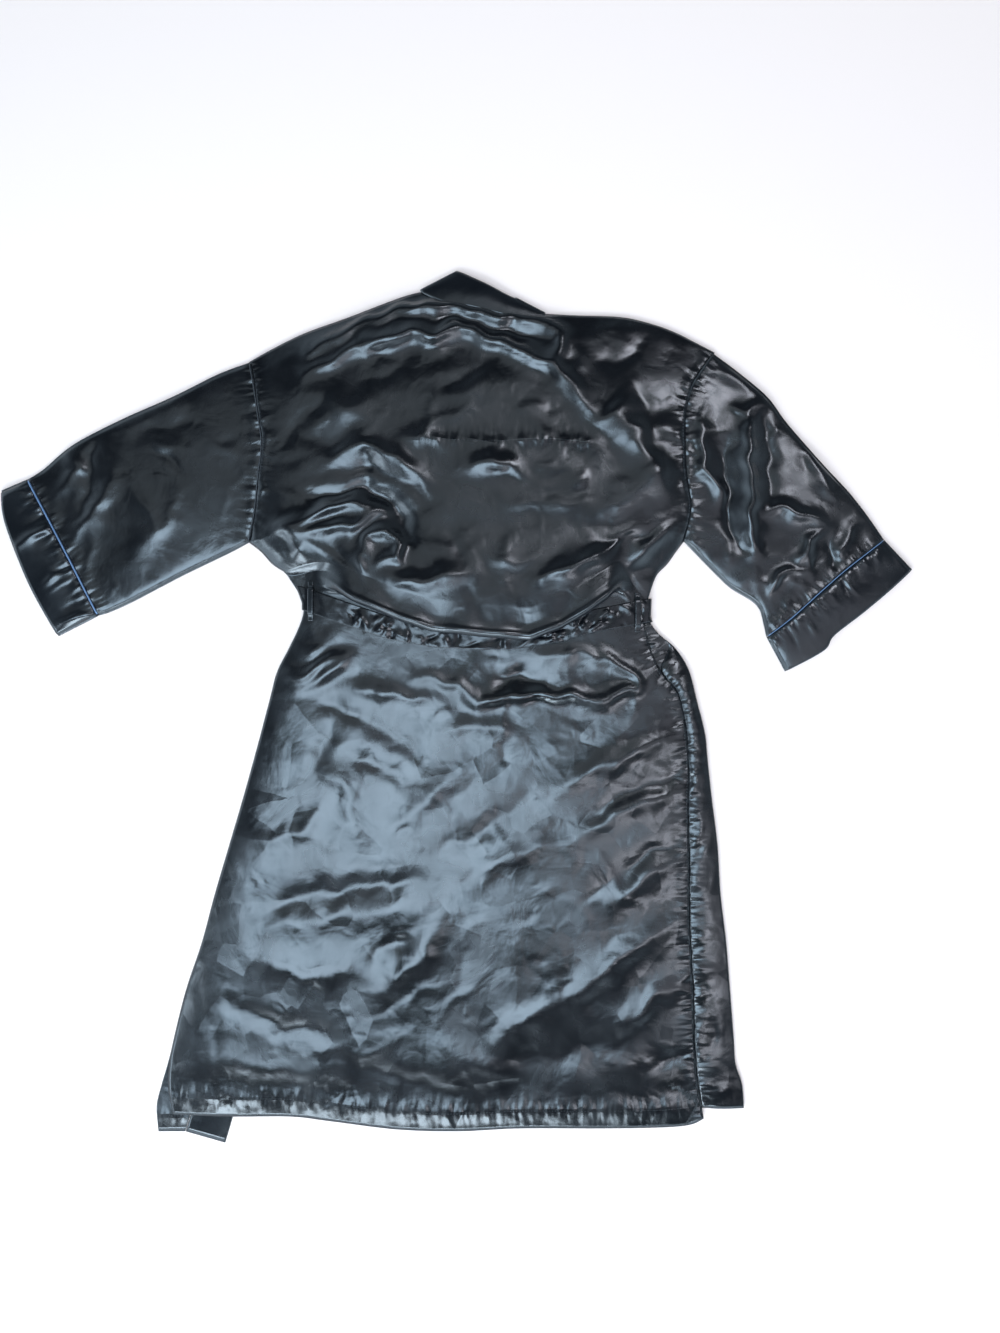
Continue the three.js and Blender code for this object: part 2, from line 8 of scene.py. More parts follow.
# %% The frame
import math
import bmesh
import bpy
import numpy as np
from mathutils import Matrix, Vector


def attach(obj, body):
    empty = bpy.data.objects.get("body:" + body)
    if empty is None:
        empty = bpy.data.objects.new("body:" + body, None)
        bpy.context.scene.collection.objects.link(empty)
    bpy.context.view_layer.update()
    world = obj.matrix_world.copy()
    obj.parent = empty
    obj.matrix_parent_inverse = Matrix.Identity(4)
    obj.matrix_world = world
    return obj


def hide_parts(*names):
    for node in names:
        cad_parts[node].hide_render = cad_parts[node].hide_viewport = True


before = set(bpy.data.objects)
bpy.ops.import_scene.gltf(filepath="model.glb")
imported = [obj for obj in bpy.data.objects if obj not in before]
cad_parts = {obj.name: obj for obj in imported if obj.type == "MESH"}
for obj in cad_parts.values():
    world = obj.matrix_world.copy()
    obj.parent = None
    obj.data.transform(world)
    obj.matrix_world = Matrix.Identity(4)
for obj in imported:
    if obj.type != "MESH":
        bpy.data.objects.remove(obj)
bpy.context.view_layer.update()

MM = 0.001
print("nodes in the frame:", sorted(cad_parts))

# %% [markdown]
# ## The pattern pieces' outlines
# A pattern cutter thinks in outlines that meet: the side seam of the back is the side seam of the front. So
# the outlines are written once, in millimetres, and every panel is spanned between the ones it shares. A
# smooth curve through a few chosen points gives each edge.

# %% Outlines in plan, in millimetres from the middle of the gown's box
outline = {
    "shoulder_left": [(-223, 370), (-198, 384), (-163, 401), (-116, 418), (-72, 435), (-48, 443),
                      (-34, 446)],
    "neckline": [(-34, 446), (-12, 439), (12, 436), (36, 430), (62, 424), (90, 422)],
    "shoulder_right": [(90, 422), (127, 420), (177, 418), (212, 410), (236, 401), (254, 392), (277, 380)],
    "armhole_left": [(-224, 177), (-217, 209), (-213, 247), (-209, 281), (-214, 318), (-218, 344),
                     (-223, 370)],
    "armhole_right": [(245, 179), (252, 214), (246, 253), (245, 285), (246, 318), (253, 344), (266, 365),
                      (277, 380)],
    "bodice_left": [(-184, 144), (-198, 153), (-210, 166), (-224, 177)],
    "bodice_right": [(206, 118), (214, 140), (226, 153), (236, 167), (245, 179)],
    "skirt_left": [(-305, -438), (-310, -410), (-309, -384), (-304, -357), (-291, -305), (-274, -254),
                   (-260, -202), (-245, -151), (-230, -100), (-215, -46), (-201, 7), (-193, 37), (-180, 63),
                   (-167, 91), (-163, 112)],
    "seam_right": [(265, -442), (258, -397), (255, -348), (254, -299), (250, -234), (250, -175),
                   (249, -119), (250, -70), (246, -21), (238, 14), (220, 37), (208, 62), (201, 92)],
    "edge_right": [(308, -431), (306, -406), (299, -384), (297, -357), (293, -305), (289, -254),
                   (283, -202), (280, -151), (274, -100), (270, -62), (267, -30), (259, 3), (250, 38),
                   (236, 62), (216, 79), (206, 96), (206, 118)],
    "hem": [(-305, -438), (-244, -440), (-178, -440), (-136, -445), (-65, -454), (1, -456), (68, -453),
            (153, -453), (217, -452), (250, -449), (265, -442)],
    "belt": [(-168, 117), (-122, 101), (-72, 84), (-25, 76), (27, 73), (62, 74), (113, 82), (148, 92),
             (205, 103)],
    "roll": [(-168, 131), (-120, 117), (-87, 103), (-56, 90), (-28, 81), (25, 75), (78, 71), (110, 83),
             (138, 99), (166, 119), (190, 132), (211, 140)],
    "band_left": [(-292, -457), (-285, -433), (-249, -313), (-207, -194), (-158, -83), (-96, 20), (-35, 99),
                  (-13, 150), (-7, 200), (-9, 245), (-16, 324), (-27, 399), (-34, 444)],
    "band_right": [(194, -421), (180, -307), (152, -173), (106, -51), (51, 41), (12, 104), (1, 140),
                   (12, 180), (36, 238), (67, 315), (86, 387), (90, 420)],
    "cuff_seam_left": [(-385, 98), (-411, 150), (-436, 198), (-461, 244)],
    "cuff_edge_left": [(-428, 76), (-456, 127), (-476, 175), (-486, 205), (-489, 232)],
    "cuff_seam_right": [(333, 75), (360, 96), (391, 124), (415, 145), (438, 163), (459, 179)],
    "cuff_edge_right": [(353, 38), (393, 60), (404, 76), (436, 101), (466, 126), (489, 147)],
    "sleeve_top_left": [(-223, 370), (-258, 357), (-306, 333), (-364, 307), (-413, 281), (-444, 255),
                        (-461, 244)],
    "sleeve_top_right": [(277, 380), (306, 358), (335, 333), (354, 307), (376, 281), (399, 255), (422, 230),
                         (442, 204), (459, 179)],
    "sleeve_under_left": [(-224, 177), (-244, 166), (-297, 140), (-346, 114), (-372, 102), (-385, 98)],
    "sleeve_under_right": [(245, 179), (258, 165), (282, 140), (296, 127), (317, 114), (326, 104),
                           (330, 89), (333, 75)],
}
print("outlines:", len(outline))


# %% Curves, and panels between them
def smooth(a, b, t):
    """0 up to a, 1 from b on, and a soft step between."""
    s = np.clip((t - a) / (b - a), 0, 1)
    return s * s * (3 - 2 * s)


def mix(a, b, t):
    """a where t is 0, b where it is 1."""
    return a + (b - a) * t


def curve(points):
    """A smooth plan curve through the points: t from 0 to 1, by length, gives x and y."""
    p = np.array([points[0], *points, points[-1]], float)
    s = np.linspace(0, 1, 24, endpoint=False)[:, None]
    spans = []
    for i in range(1, len(p) - 2):
        a, b, c, d = p[i - 1], p[i], p[i + 1], p[i + 2]
        v0, v1 = (c - a) / 2, (d - b) / 2
        spans.append((2 * b - 2 * c + v0 + v1) * s**3 + (-3 * b + 3 * c - 2 * v0 - v1) * s**2 + v0 * s + b)
    line = np.vstack([*spans, p[-1:]])
    run = np.concatenate([[0], np.cumsum(np.linalg.norm(np.diff(line, axis=0), axis=1))])
    run /= run[-1]
    return lambda t: np.stack([np.interp(t, run, line[:, 0]), np.interp(t, run, line[:, 1])], -1)


def chain(*names):
    """Several named outlines end to end, each keeping its own corner with the next."""
    parts = [outline[n] if isinstance(n, str) else n for n in names]
    curves = [curve(p) for p in parts]
    lengths = [sum(math.dist(a, b) for a, b in zip(p, p[1:])) for p in parts]
    stops = np.concatenate([[0], np.cumsum(lengths)]) / sum(lengths)

    def at(t):
        t = np.clip(t, 0, 1)
        found = np.zeros((*np.shape(t), 2))
        for i, c in enumerate(curves):
            here = (t >= stops[i]) & ((t <= stops[i + 1]) if i == len(curves) - 1 else (t < stops[i + 1]))
            found = np.where(here[..., None], c((t - stops[i]) / (stops[i + 1] - stops[i])), found)
        return found
    return at


def patch(bottom, top, left, right):
    """The plan points (u, v) of a panel that is spanned between its four edges."""
    def at(u, v):
        zero, one = np.zeros_like(u), np.ones_like(u)
        b0, b1, t0, t1 = bottom(zero), bottom(one), top(zero), top(one)
        u1, v1 = u[..., None], v[..., None]
        return ((1 - v1) * bottom(u) + v1 * top(u) + (1 - u1) * left(v) + u1 * right(v)
                - (1 - u1) * (1 - v1) * b0 - u1 * (1 - v1) * b1 - (1 - u1) * v1 * t0 - u1 * v1 * t1)
    return at


def line_y(name, x):
    """How far up an outline that runs across the gown is at x."""
    points = np.array(outline[name], float)
    return np.interp(x, points[:, 0], points[:, 1])


print("middle of the belt:", line_y("belt", 0), "mm up")

# %% [markdown]
# ## How high the cloth lies
# The fronts lie on the floor and on the belt, the knot and the belt's tails, so they are held up a little
# there. The back lies on the fronts, swells up from its edges, and blouses over the belt in a roll. The
# same named heights as the solids' are used, so each panel stays in the space that its solid holds.

# %% Heights, in millimetres
CLOTH = 1.1
SEAM_GAP = 0.4
BELT_WIDTH = 25
BAND_WIDTH = 44
EDGE_RISE = 24
BACK_EDGE = 2.4
FRONT_LIE = CLOTH / 2
KNOT_AT, KNOT_CORE = (2, 72), 4
KNOT_LIFT = 3.7
BELT_LIFT = 1.6
TAILS_MIDDLE, TAILS_SPREAD = -2, 0.16
OVERLAP_LIFT = 3.2
WRAP_RADIUS = 1.7
ARMHOLE_SWELL = 5.2
SKIRT_SWELL = [(-456, 3.2), (-430, 4.6), (-380, 7.5), (-280, 8.5), (-160, 9.5), (-60, 9.5), (20, 9.6),
               (70, 9.6), (120, 9.4)]
BODICE_SWELL = [(70, 25), (110, 25), (150, 22), (200, 18), (260, 16), (330, 14), (390, 10), (430, 6),
                (450, 4.5)]
WAIST = {"left": -163, "right": 203, "y": 100}


def table_at(table, x):
    """A value read from a two-column table, smoothed between its rows."""
    t = np.array(table, float)
    i = np.clip(np.searchsorted(t[:, 0], x) - 1, 0, len(t) - 2)
    return mix(t[i, 1], t[i + 1, 1], smooth(t[i, 0], t[i + 1, 0], x))


def held_up(x, y):
    """How far the belt, its knot and its tails hold up the cloth that lies on them."""
    over_belt = BELT_LIFT * (1 - smooth(28, 44, np.abs(y - line_y("belt", x))))
    from_knot = np.maximum(np.abs(x - KNOT_AT[0]), np.abs(y - KNOT_AT[1])) - KNOT_CORE
    over_knot = KNOT_LIFT * (1 - smooth(38, 58, from_knot))
    from_tails = np.abs(x - TAILS_MIDDLE) - 12 - TAILS_SPREAD * (KNOT_AT[1] - y)
    over_tails = np.where(y < 80, BELT_LIFT * (1 - smooth(34, 52, from_tails)) * smooth(-330, -296, y), 0)
    return np.maximum(np.maximum(over_belt, over_knot), over_tails)


def front_right_z(x, y):
    return FRONT_LIE + held_up(x, y)


def front_left_z(x, y):
    """The left front lies on the right one where they overlap."""
    overlap = (1 - smooth(66, 92, np.abs(x - TAILS_MIDDLE))) * smooth(34, 58, y) * (1 - smooth(345, 372, y))
    return front_right_z(x, y) + OVERLAP_LIFT * overlap


def inward(distance):
    """How fully the back has risen at a distance from its edge, from 0 to 1."""
    return 1 - np.exp(-np.maximum(0, distance) / EDGE_RISE)


def waist_z(x):
    """The height of the skirt's top where the belt crosses it."""
    edge = np.minimum(x - WAIST["left"], WAIST["right"] - x)
    return mix(BACK_EDGE + BELT_LIFT, table_at(SKIRT_SWELL, WAIST["y"]), inward(edge))


def root_y(x):
    """Where the tuck starts behind the belt."""
    return np.maximum(line_y("belt", x) + BELT_WIDTH / 2 + 4, line_y("roll", x) + 5)


def roll_full(x):
    """The roll over the belt is full in the middle and flat at both sides."""
    return smooth(-154, -108, x) * (1 - smooth(158, 191, x))


print("waist height in the middle:", float(waist_z(np.array(0.0))))

# %% [markdown]
# ## Folds
# Satin takes soft folds wherever it is drawn towards a seam or a tie. They could be left to chance with a
# noise texture, but cloth remembers how it was laid down, so the main folds are placed one by one: each one
# is a short path with its own width and height, a ridge where the height is positive and a trough where it is
# not. A few seeded small creases are scattered between them, uneven in length, width and strength.

# %% The folds, in millimetres
# Each row is a fold: its half width, its height, and the points it runs through.
BODICE_FOLDS = [
    (14, 5, [(-199, 366), (-149, 393), (-81, 405), (-21, 420), (2, 433)]),
    (8, 2.5, [(123, 426), (176, 417), (209, 403)]),
    (9, 5, [(10, 257), (38, 262), (66, 249)]),
    (6, 1.6, [(52, 217), (143, 217)]),
    (5.5, 6, [(-176, 193), (-136, 213), (-84, 218)]),
    (5.5, 5, [(-168, 187), (-114, 193), (-80, 211)]),
    (7, -6, [(-160, 222), (-93, 233), (-55, 202), (-54, 176)]),
    (4.5, 5, [(-103, 160), (-101, 135), (-98, 108)]),
    (5, 6, [(-98, 165), (-92, 182), (-74, 187), (-60, 174), (-64, 158), (-82, 154)]),
    (9, -4.5, [(-95, 242), (-64, 214), (-55, 185)]),
    (8, 6, [(-132, 266), (-98, 280), (-66, 266), (-40, 244)]),
    (7, -4, [(-120, 250), (-84, 256), (-60, 242)]),
    (7, 4, [(-205, 176), (-186, 155), (-161, 128)]),
    (7, 3.5, [(-191, 202), (-164, 159), (-144, 125)]),
    (10, 4, [(-123, 147), (-80, 131), (-27, 121)]),
    (9, -3.5, [(-138, 177), (-105, 139), (-62, 117)]),
    (11, 6, [(-90, 124), (-40, 131), (14, 142)]),
    (9, 5.5, [(88, 137), (125, 149), (163, 161)]),
    (6, 7, [(110, 92), (140, 112), (168, 134), (196, 161), (217, 183), (245, 203)]),
    (8, -5, [(98, 108), (150, 146), (186, 180)]),
    (9, 3.5, [(107, 119), (150, 146), (181, 177)]),
    (12, 4, [(150, 207), (192, 228), (230, 259)]),
    (8, 3.5, [(210, 311), (239, 288), (249, 255)]),
    (15, 7, [(158, 322), (192, 292), (212, 252), (226, 226)]),
    (11, -3, [(193, 349), (209, 295), (214, 242)]),
    (16, 3, [(-162, 342), (-121, 317), (-69, 306)]),
    (12, -2.5, [(-179, 293), (-137, 282), (-83, 266)]),
    (7, 3, [(248, 193), (209, 177), (171, 139)]),
    (7, 2.5, [(244, 209), (194, 193), (151, 161)]),
    (8, 3, [(-215, 194), (-176, 189), (-133, 161)]),
    (18, 2, [(-35, 360), (15, 340), (65, 350)]),
]
NECK_FOLDS = [
    (9, 8.5, [(-160, 356), (-140, 368), (-125, 376), (-85, 391), (-50, 399), (-23, 397), (4, 406), (20, 403),
              (48, 389), (78, 376), (107, 362), (129, 333), (141, 318)]),
    (8, 9.5, [(-160, 376), (-125, 398), (-98, 413), (-64, 424), (-32, 430), (6, 428), (25, 424), (48, 415),
                (62, 421), (78, 419), (98, 411), (112, 396), (111, 382), (106, 368)]),
    (8, -5, [(-8, 416), (20, 414), (45, 402), (70, 398), (90, 396)]),
]
SKIRT_FOLDS = [
    (6, 5, [(-140, 98), (-158, 85), (-157, 74), (-145, 75), (-123, 88)]),
    (6, 5, [(-177, 62), (-158, 61), (-137, 70), (-113, 83)]),
    (7, 5, [(-191, 34), (-172, 31), (-144, 46), (-116, 58)]),
    (6, 4, [(-173, 14), (-130, 40), (-110, 54)]),
    (6.5, 4.5, [(-42, 32), (4, 24), (25, 2), (57, 12), (121, 13), (148, 3), (169, 15), (193, 17), (193, 30),
              (169, 46), (146, 74)]),
    (11, -4.5, [(36, 33), (66, 32), (98, 24)]),
    (9, -3.5, [(-146, 7), (-120, -4), (-98, -20)]),
    (10, -3.5, [(-114, -52), (-80, -66), (-42, -88)]),
    (6, 3, [(199, 74), (226, 47), (247, 20)]),
    (8, 3, [(88, 55), (127, 61), (166, 46)]),
    (13, 4.5, [(245, -28), (204, -41), (149, -66), (106, -93)]),
    (10, -3.5, [(250, -71), (197, -86), (144, -118)]),
    (12, 4, [(249, -92), (204, -98), (160, -120), (122, -147)]),
    (10, -3.5, [(252, -140), (208, -156), (166, -188)]),
    (12, 4, [(247, -157), (208, -179), (170, -206)]),
    (13, 4.5, [(248, -226), (202, -248), (148, -291), (116, -318)]),
    (12, 4, [(251, -291), (213, -308), (169, -351)]),
    (24, -3.5, [(190, -352), (150, -362), (100, -380), (50, -392)]),
    (12, 3.5, [(107, -318), (63, -340), (35, -373)]),
    (10, -3, [(251, -370), (208, -386)]),
    (14, -5, [(-207, -216), (-145, -200), (-82, -190), (-28, -187)]),
    (14, 3, [(-201, -235), (-126, -225), (-40, -214)]),
    (12, -4, [(-100, -12), (-63, -33), (-37, -60)]),
    (9, 3, [(-113, 24), (-76, 13), (-28, 8)]),
    (10, 3, [(-19, -29), (25, -18), (70, -35)]),
    (12, 3, [(-163, -51), (-118, -85), (-107, -141)]),
    (10, -3, [(-133, -15), (-154, -79)]),
    (11, 3, [(-223, -146), (-171, -136), (-141, -105)]),
    (13, 3.5, [(-229, -263), (-166, -289), (-104, -284)]),
    (11, -3, [(-244, -317), (-190, -344), (-136, -349)]),
    (14, 3.5, [(-88, -307), (-35, -265), (-15, -224)]),
    (12, -3.5, [(-80, -263), (-48, -242)]),
    (12, 3, [(-65, -126), (-23, -94), (9, -62)]),
    (12, -3, [(-27, -157), (27, -135), (70, -103)]),
    (12, 3, [(21, -178), (65, -157), (109, -146)]),
    (12, 2.5, [(-14, -361), (28, -387), (69, -392)]),
    (10, -1.5, [(-115, -381), (-62, -397), (-8, -413)]),
    (10, 1.4, [(-273, -372), (-209, -388), (-146, -393)]),
]
SLEEVE_FOLDS = [
    (10, 3, [(-431, 285), (-402, 254), (-430, 224)]),
    (10, 3, [(-365, 252), (-388, 203), (-413, 178)]),
    (12, 2.5, [(-348, 236), (-321, 191), (-346, 159)]),
    (8, -2.5, [(-389, 286), (-395, 232)]),
    (12, 2, [(-332, 314), (-289, 335)]),
    (7, 4, [(264, 315), (261, 282), (266, 253), (283, 231), (293, 208)]),
    (9, 9, [(314, 318), (312, 280), (314, 239), (314, 200), (316, 168)]),
    (7, -5, [(287, 285), (289, 247), (292, 200), (299, 173)]),
    (8, -3.5, [(331, 307), (335, 264), (337, 221)]),
    (9, 5, [(331, 214), (363, 208), (397, 197)]),
    (10, 4, [(373, 288), (389, 251), (410, 219)]),
    (5, 3.5, [(393, 189), (378, 178), (374, 165), (363, 155)]),
    (5, 3, [(370, 148), (345, 141), (337, 124)]),
    (5, -3, [(401, 176), (404, 138)]),
    (7, 3, [(427, 202), (417, 175), (404, 160)]),
    (9, 3, [(262, 366), (295, 355), (328, 333)]),
    (7, 2.5, [(-480, 166), (-453, 182), (-426, 195)]),
    (5, 2, [(-442, 133), (-424, 144)]),
    (5, 2.5, [(-426, 88), (-392, 100)]),
    (7, 2.5, [(-487, 222), (-462, 233)]),
]
print("fold tables:", len(BODICE_FOLDS), len(NECK_FOLDS), len(SKIRT_FOLDS), len(SLEEVE_FOLDS))

# %% How a fold lifts the cloth
FOLD_SHARPNESS = 1.6    # 2 is a round fold, 1 is a knife-sharp one
FAR = 1e9


def spans_near(path, x, y):
    """For each span of a path: the share of it at its nearest spot, how far off that is, and its length."""
    for (x0, y0), (x1, y1) in zip(path, path[1:]):
        dx, dy = x1 - x0, y1 - y0
        t = np.clip(((x - x0) * dx + (y - y0) * dy) / (dx * dx + dy * dy), 0, 1)
        yield t, np.hypot(x - x0 - t * dx, y - y0 - t * dy), math.hypot(dx, dy)


def wandered(a, b, waves):
    """a, pushed about by small waves that run along b, so that no fold is straight."""
    long, long_turn, short, short_turn = waves
    return a + 1.8 * np.sin(b / long + 2 * np.sin(a / long_turn)) + 1.1 * np.sin(b / short + a / short_turn)


def fold_heights(folds, x, y):
    """The height that a table of folds adds at every point."""
    total = np.zeros_like(x)
    x, y = wandered(x, y, (9.1, 27, 4.3, 11)), wandered(y, x, (8.3, 23, 4.9, -13))
    for half, height, path in folds:
        near, share = np.full_like(x, FAR), np.zeros_like(x)
        for i, (t, off, _) in enumerate(spans_near(path, x, y)):
            share = np.where(off < near, (i + t) / (len(path) - 1), share)
            near = np.minimum(near, off)
        fade = np.sin(np.pi * np.clip(share * 0.84 + 0.08, 0, 1)) ** 0.8
        total += height * fade * np.exp(-((near / half) ** FOLD_SHARPNESS))
    return total


def scattered(seed, count, box, length, half, height, slant):
    """Small uneven creases, each a bent path of three points, for fold_heights."""
    rng = np.random.default_rng(seed)
    folds = []
    for _ in range(count):
        x, y = rng.uniform(box[0], box[2]), rng.uniform(box[1], box[3])
        turn = slant + rng.normal(0, 0.75)
        reach = rng.uniform(*length) / 2
        bend = rng.normal(0, 0.22) * reach
        dx, dy = math.cos(turn) * reach, math.sin(turn) * reach
        path = [(x - dx, y - dy), (x - dy / reach * bend, y + dx / reach * bend), (x + dx, y + dy)]
        folds.append((rng.uniform(*half), rng.uniform(*height) * rng.choice([1, 1, -1]), path))
    return folds


BODICE_SOFTER = 1.25    # the bodice is drawn less tight than the skirt, so all its folds are wider
BODICE_FOLDS = [(half * BODICE_SOFTER, height, path) for half, height, path in BODICE_FOLDS]
for name, inset in (("armhole_left", -3.5), ("armhole_right", 3.5)):
    path = [(x - inset, y) for x, y in outline[name]]
    BODICE_FOLDS += [(3.2, 2.6, path[i:i + 2]) for i in range(len(path) - 1)]
SKIRT_CRUMPLE = scattered(11, 170, (-300, -440, 260, 60), (14, 70), (3.0, 6.5), (0.3, 0.85), 0.35)
BODICE_CRUMPLE = scattered(23, 80, (-220, 100, 250, 430), (20, 80), (5, 10), (0.6, 1.7), 0.2)
print("folds placed:", len(BODICE_FOLDS), len(SKIRT_FOLDS), len(SLEEVE_FOLDS), "and scattered:",
      len(SKIRT_CRUMPLE) + len(BODICE_CRUMPLE))


# %% [markdown]
# ## One grid for every panel
# Every panel starts from Blender's own grid, which has clean quads and a UV layer. Its corners are then
# carried to where the panel lies. Working in rows and columns keeps seams straight and lets the same maker
# serve flat panels, bands and the tubes of the sleeves. The UV map is scaled to metres of cloth, so the
# weave keeps its size on every piece.

# %% A panel maker
def beside(points, off):
    """The same path moved sideways, to the left of its own direction."""
    p = np.array(points, float)
    way = np.gradient(p, axis=0)
    way /= np.linalg.norm(way, axis=1)[:, None]
    return [tuple(q) for q in p + np.stack([-way[:, 1], way[:, 0]], -1) * off]


NO_SEAM = 1e3    # millimetres off: where no seam is near, nothing puckers


def seam_map(seams, x, y):
    """For every point, how far along its nearest seam it lies and how far off it, in metres.

    Each seam is a path and a distance that is added to make its puckers weaker."""
    near, run = np.full_like(x, NO_SEAM), np.zeros_like(x)
    start = 0.0
    for path, weaker in seams:
        for t, off, length in spans_near(path, x, y):
            run = np.where(off + weaker < near, start + t * length, run)
            near = np.minimum(near, off + weaker)
            start += length
        start += 100    # so that no two seams share their puckers
    return run * MM, near * MM


def to_object(name, bm):
    """Ends a bmesh: its smooth mesh goes into the scene on a new object."""
    for face in bm.faces:
        face.smooth = True
    mesh = bpy.data.meshes.new(name)
    bm.to_mesh(mesh)
    bm.free()
    made = bpy.data.objects.new(name, mesh)
    bpy.context.scene.collection.objects.link(made)
    return made


def gown_piece(name, bm):
    """A piece of the gown: it rides on the one body."""
    piece = to_object(name, bm)
    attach(piece, "root")
    return piece


def cloth_grid(name, across, up, place, cut, closed=False, seams=()):
    """A grid of across x up cells. place(u, v) gives the points in millimetres; cut is its size in metres."""
    bm = bmesh.new()
    bmesh.ops.create_grid(bm, x_segments=across, y_segments=up, size=1.0, calc_uvs=True)
    bm.verts.ensure_lookup_table()
    flat = np.array([v.co for v in bm.verts])
    u, v = (flat[:, 0] + 1) / 2, (flat[:, 1] + 1) / 2
    points = place(u, v)
    run, off = seam_map(seams, points[:, 0], points[:, 1])
    points = points * MM
    points[:, :2] += SHIFT
    for vert, co in zip(bm.verts, points):
        vert.co = co
    layer = bm.loops.layers.uv.verify()
    seam_layer = bm.loops.layers.uv.new("seams")
    for face in bm.faces:
        for loop in face.loops:
            loop[layer].uv = (loop[layer].uv[0] * cut[0], loop[layer].uv[1] * cut[1])
            loop[seam_layer].uv = (run[loop.vert.index], off[loop.vert.index])
    if closed:
        bmesh.ops.remove_doubles(bm, verts=bm.verts, dist=1e-6)
    return gown_piece(name, bm)


def finish_cloth(piece, material, thickness):
    """The panel's material and the cloth's own thickness, half to each side of the grid."""
    piece.data.materials.append(material)
    wall = piece.modifiers.new("wall", "SOLIDIFY")
    wall.thickness = thickness * MM
    wall.offset = 0
    wall.use_even_offset = False
    wall.use_quality_normals = True


# The outlines were drawn about a middle that lies a little off the box's own.
SHIFT = np.array([-0.09, 1.012]) * MM
PANEL_WALL, BAND_WALL, BELT_WALL, LOOP_WALL, KNOT_WALL = 0.5, 0.9, 0.8, 0.7, 1.7
print("cloth maker ready; walls in mm:", PANEL_WALL, "to", KNOT_WALL)

# %% [markdown]
# ## Satin
# Satin is smooth because its threads float over many others, so it throws broad, soft highlights and goes
# nearly black between them. A glossy plastic look is the usual mistake. Here a dark base carries a wide
# reflection lobe, and four shared groups give it life: the floating weave, a fine ribbed height along the
# cloth's own UV, the small creasing that no panel mesh is fine enough to hold, the facets that were pressed
# into the cloth while it lay folded, and the puckers beside its seams.

# %% Helpers for shader nodes
def feed(node, inputs):
    """Gives each input its value, or links it to the output that feeds it."""
    for label, value in inputs.items():
        if isinstance(value, bpy.types.NodeSocket):
            node.id_data.links.new(value, node.inputs[label])
        else:
            node.inputs[label].default_value = value


def add_node(tree, kind, inputs=None, **settings):
    """A new shader node with its settings made and its inputs fed."""
    node = tree.nodes.new("ShaderNode" + kind)
    for label, value in settings.items():
        setattr(node, label, value)
    feed(node, inputs or {})
    return node


def math_node(tree, operation, *values):
    return add_node(tree, "Math", dict(enumerate(values)), operation=operation).outputs[0]


def vector_node(tree, operation, *values):
    return add_node(tree, "VectorMath", dict(enumerate(values)), operation=operation).outputs


def map_range(tree, value, source, target, **settings):
    """Carries a value from one pair of limits to another."""
    limits = dict(zip(("From Min", "From Max", "To Min", "To Max"), (*source, *target)))
    return add_node(tree, "MapRange", {"Value": value, **limits}, **settings).outputs["Result"]


def new_group(name, inputs, outputs):
    """An empty node group with number sockets: the group, what comes in and what goes out."""
    group = bpy.data.node_groups.new(name, "ShaderNodeTree")
    for label, value in inputs:
        socket = group.interface.new_socket(label, in_out="INPUT", socket_type="NodeSocketFloat")
        socket.default_value = value
    for label in outputs:
        group.interface.new_socket(label, in_out="OUTPUT", socket_type="NodeSocketFloat")
    return group, group.nodes.new("NodeGroupInput").outputs, group.nodes.new("NodeGroupOutput")


print("node helpers ready")

# %% The weave and the small creasing
FULL_TURN = 6.283
WEAVE_SLANT = 1.2566    # each row of floats starts a fifth of a turn after the row below
weave, weave_in, weave_out = new_group("satin_weave", [("Threads per metre", 1100.0)], ["Height"])
split = add_node(weave, "SeparateXYZ", {0: add_node(weave, "TexCoord").outputs["UV"]}).outputs
along = math_node(weave, "MULTIPLY", split["X"], weave_in[0])
across = math_node(weave, "MULTIPLY", split["Y"], weave_in[0])
phase = math_node(weave, "ADD", math_node(weave, "MULTIPLY", along, FULL_TURN),
                  math_node(weave, "MULTIPLY", across, WEAVE_SLANT))
feed(weave_out, {"Height": math_node(weave, "SINE", phase)})

crease, crease_in, crease_out = new_group("small_creasing", [("Creases per metre", 22.0), ("Seed", 0.0)],
                                          ["Height", "Mask"])
place_on_gown = add_node(crease, "TexCoord").outputs["Object"]


def crease_noise(factor, distortion, **settings):
    """Noise on the gown's own coordinates, at a multiple of the group's scale."""
    inputs = {"Vector": place_on_gown, "W": crease_in["Seed"], "Detail": 4.0, "Distortion": distortion,
              "Scale": math_node(crease, "MULTIPLY", crease_in[0], factor)}
    return add_node(crease, "TexNoise", inputs, noise_dimensions="4D", **settings).outputs[0]


broad = crease_noise(1.0, 0.7)
ridged = crease_noise(2.8, 0.5, noise_type="RIDGED_MULTIFRACTAL")
height = math_node(crease, "ADD", math_node(crease, "MULTIPLY", broad, 0.6),
                   math_node(crease, "MULTIPLY", ridged, 0.30))
feed(crease_out, {"Height": height, "Mask": broad})
print("groups:", weave.name, crease.name)

# %% [markdown]
# Cloth that was folded away keeps small flat facets, pressed between its creases. A Voronoi texture gives
# the cells, and each cell's own colour says which way it leans: the slope of its height is the dot product
# of that lean with the way from the cell's middle. A little noise bends the borders, so they aren't ruled
# lines.

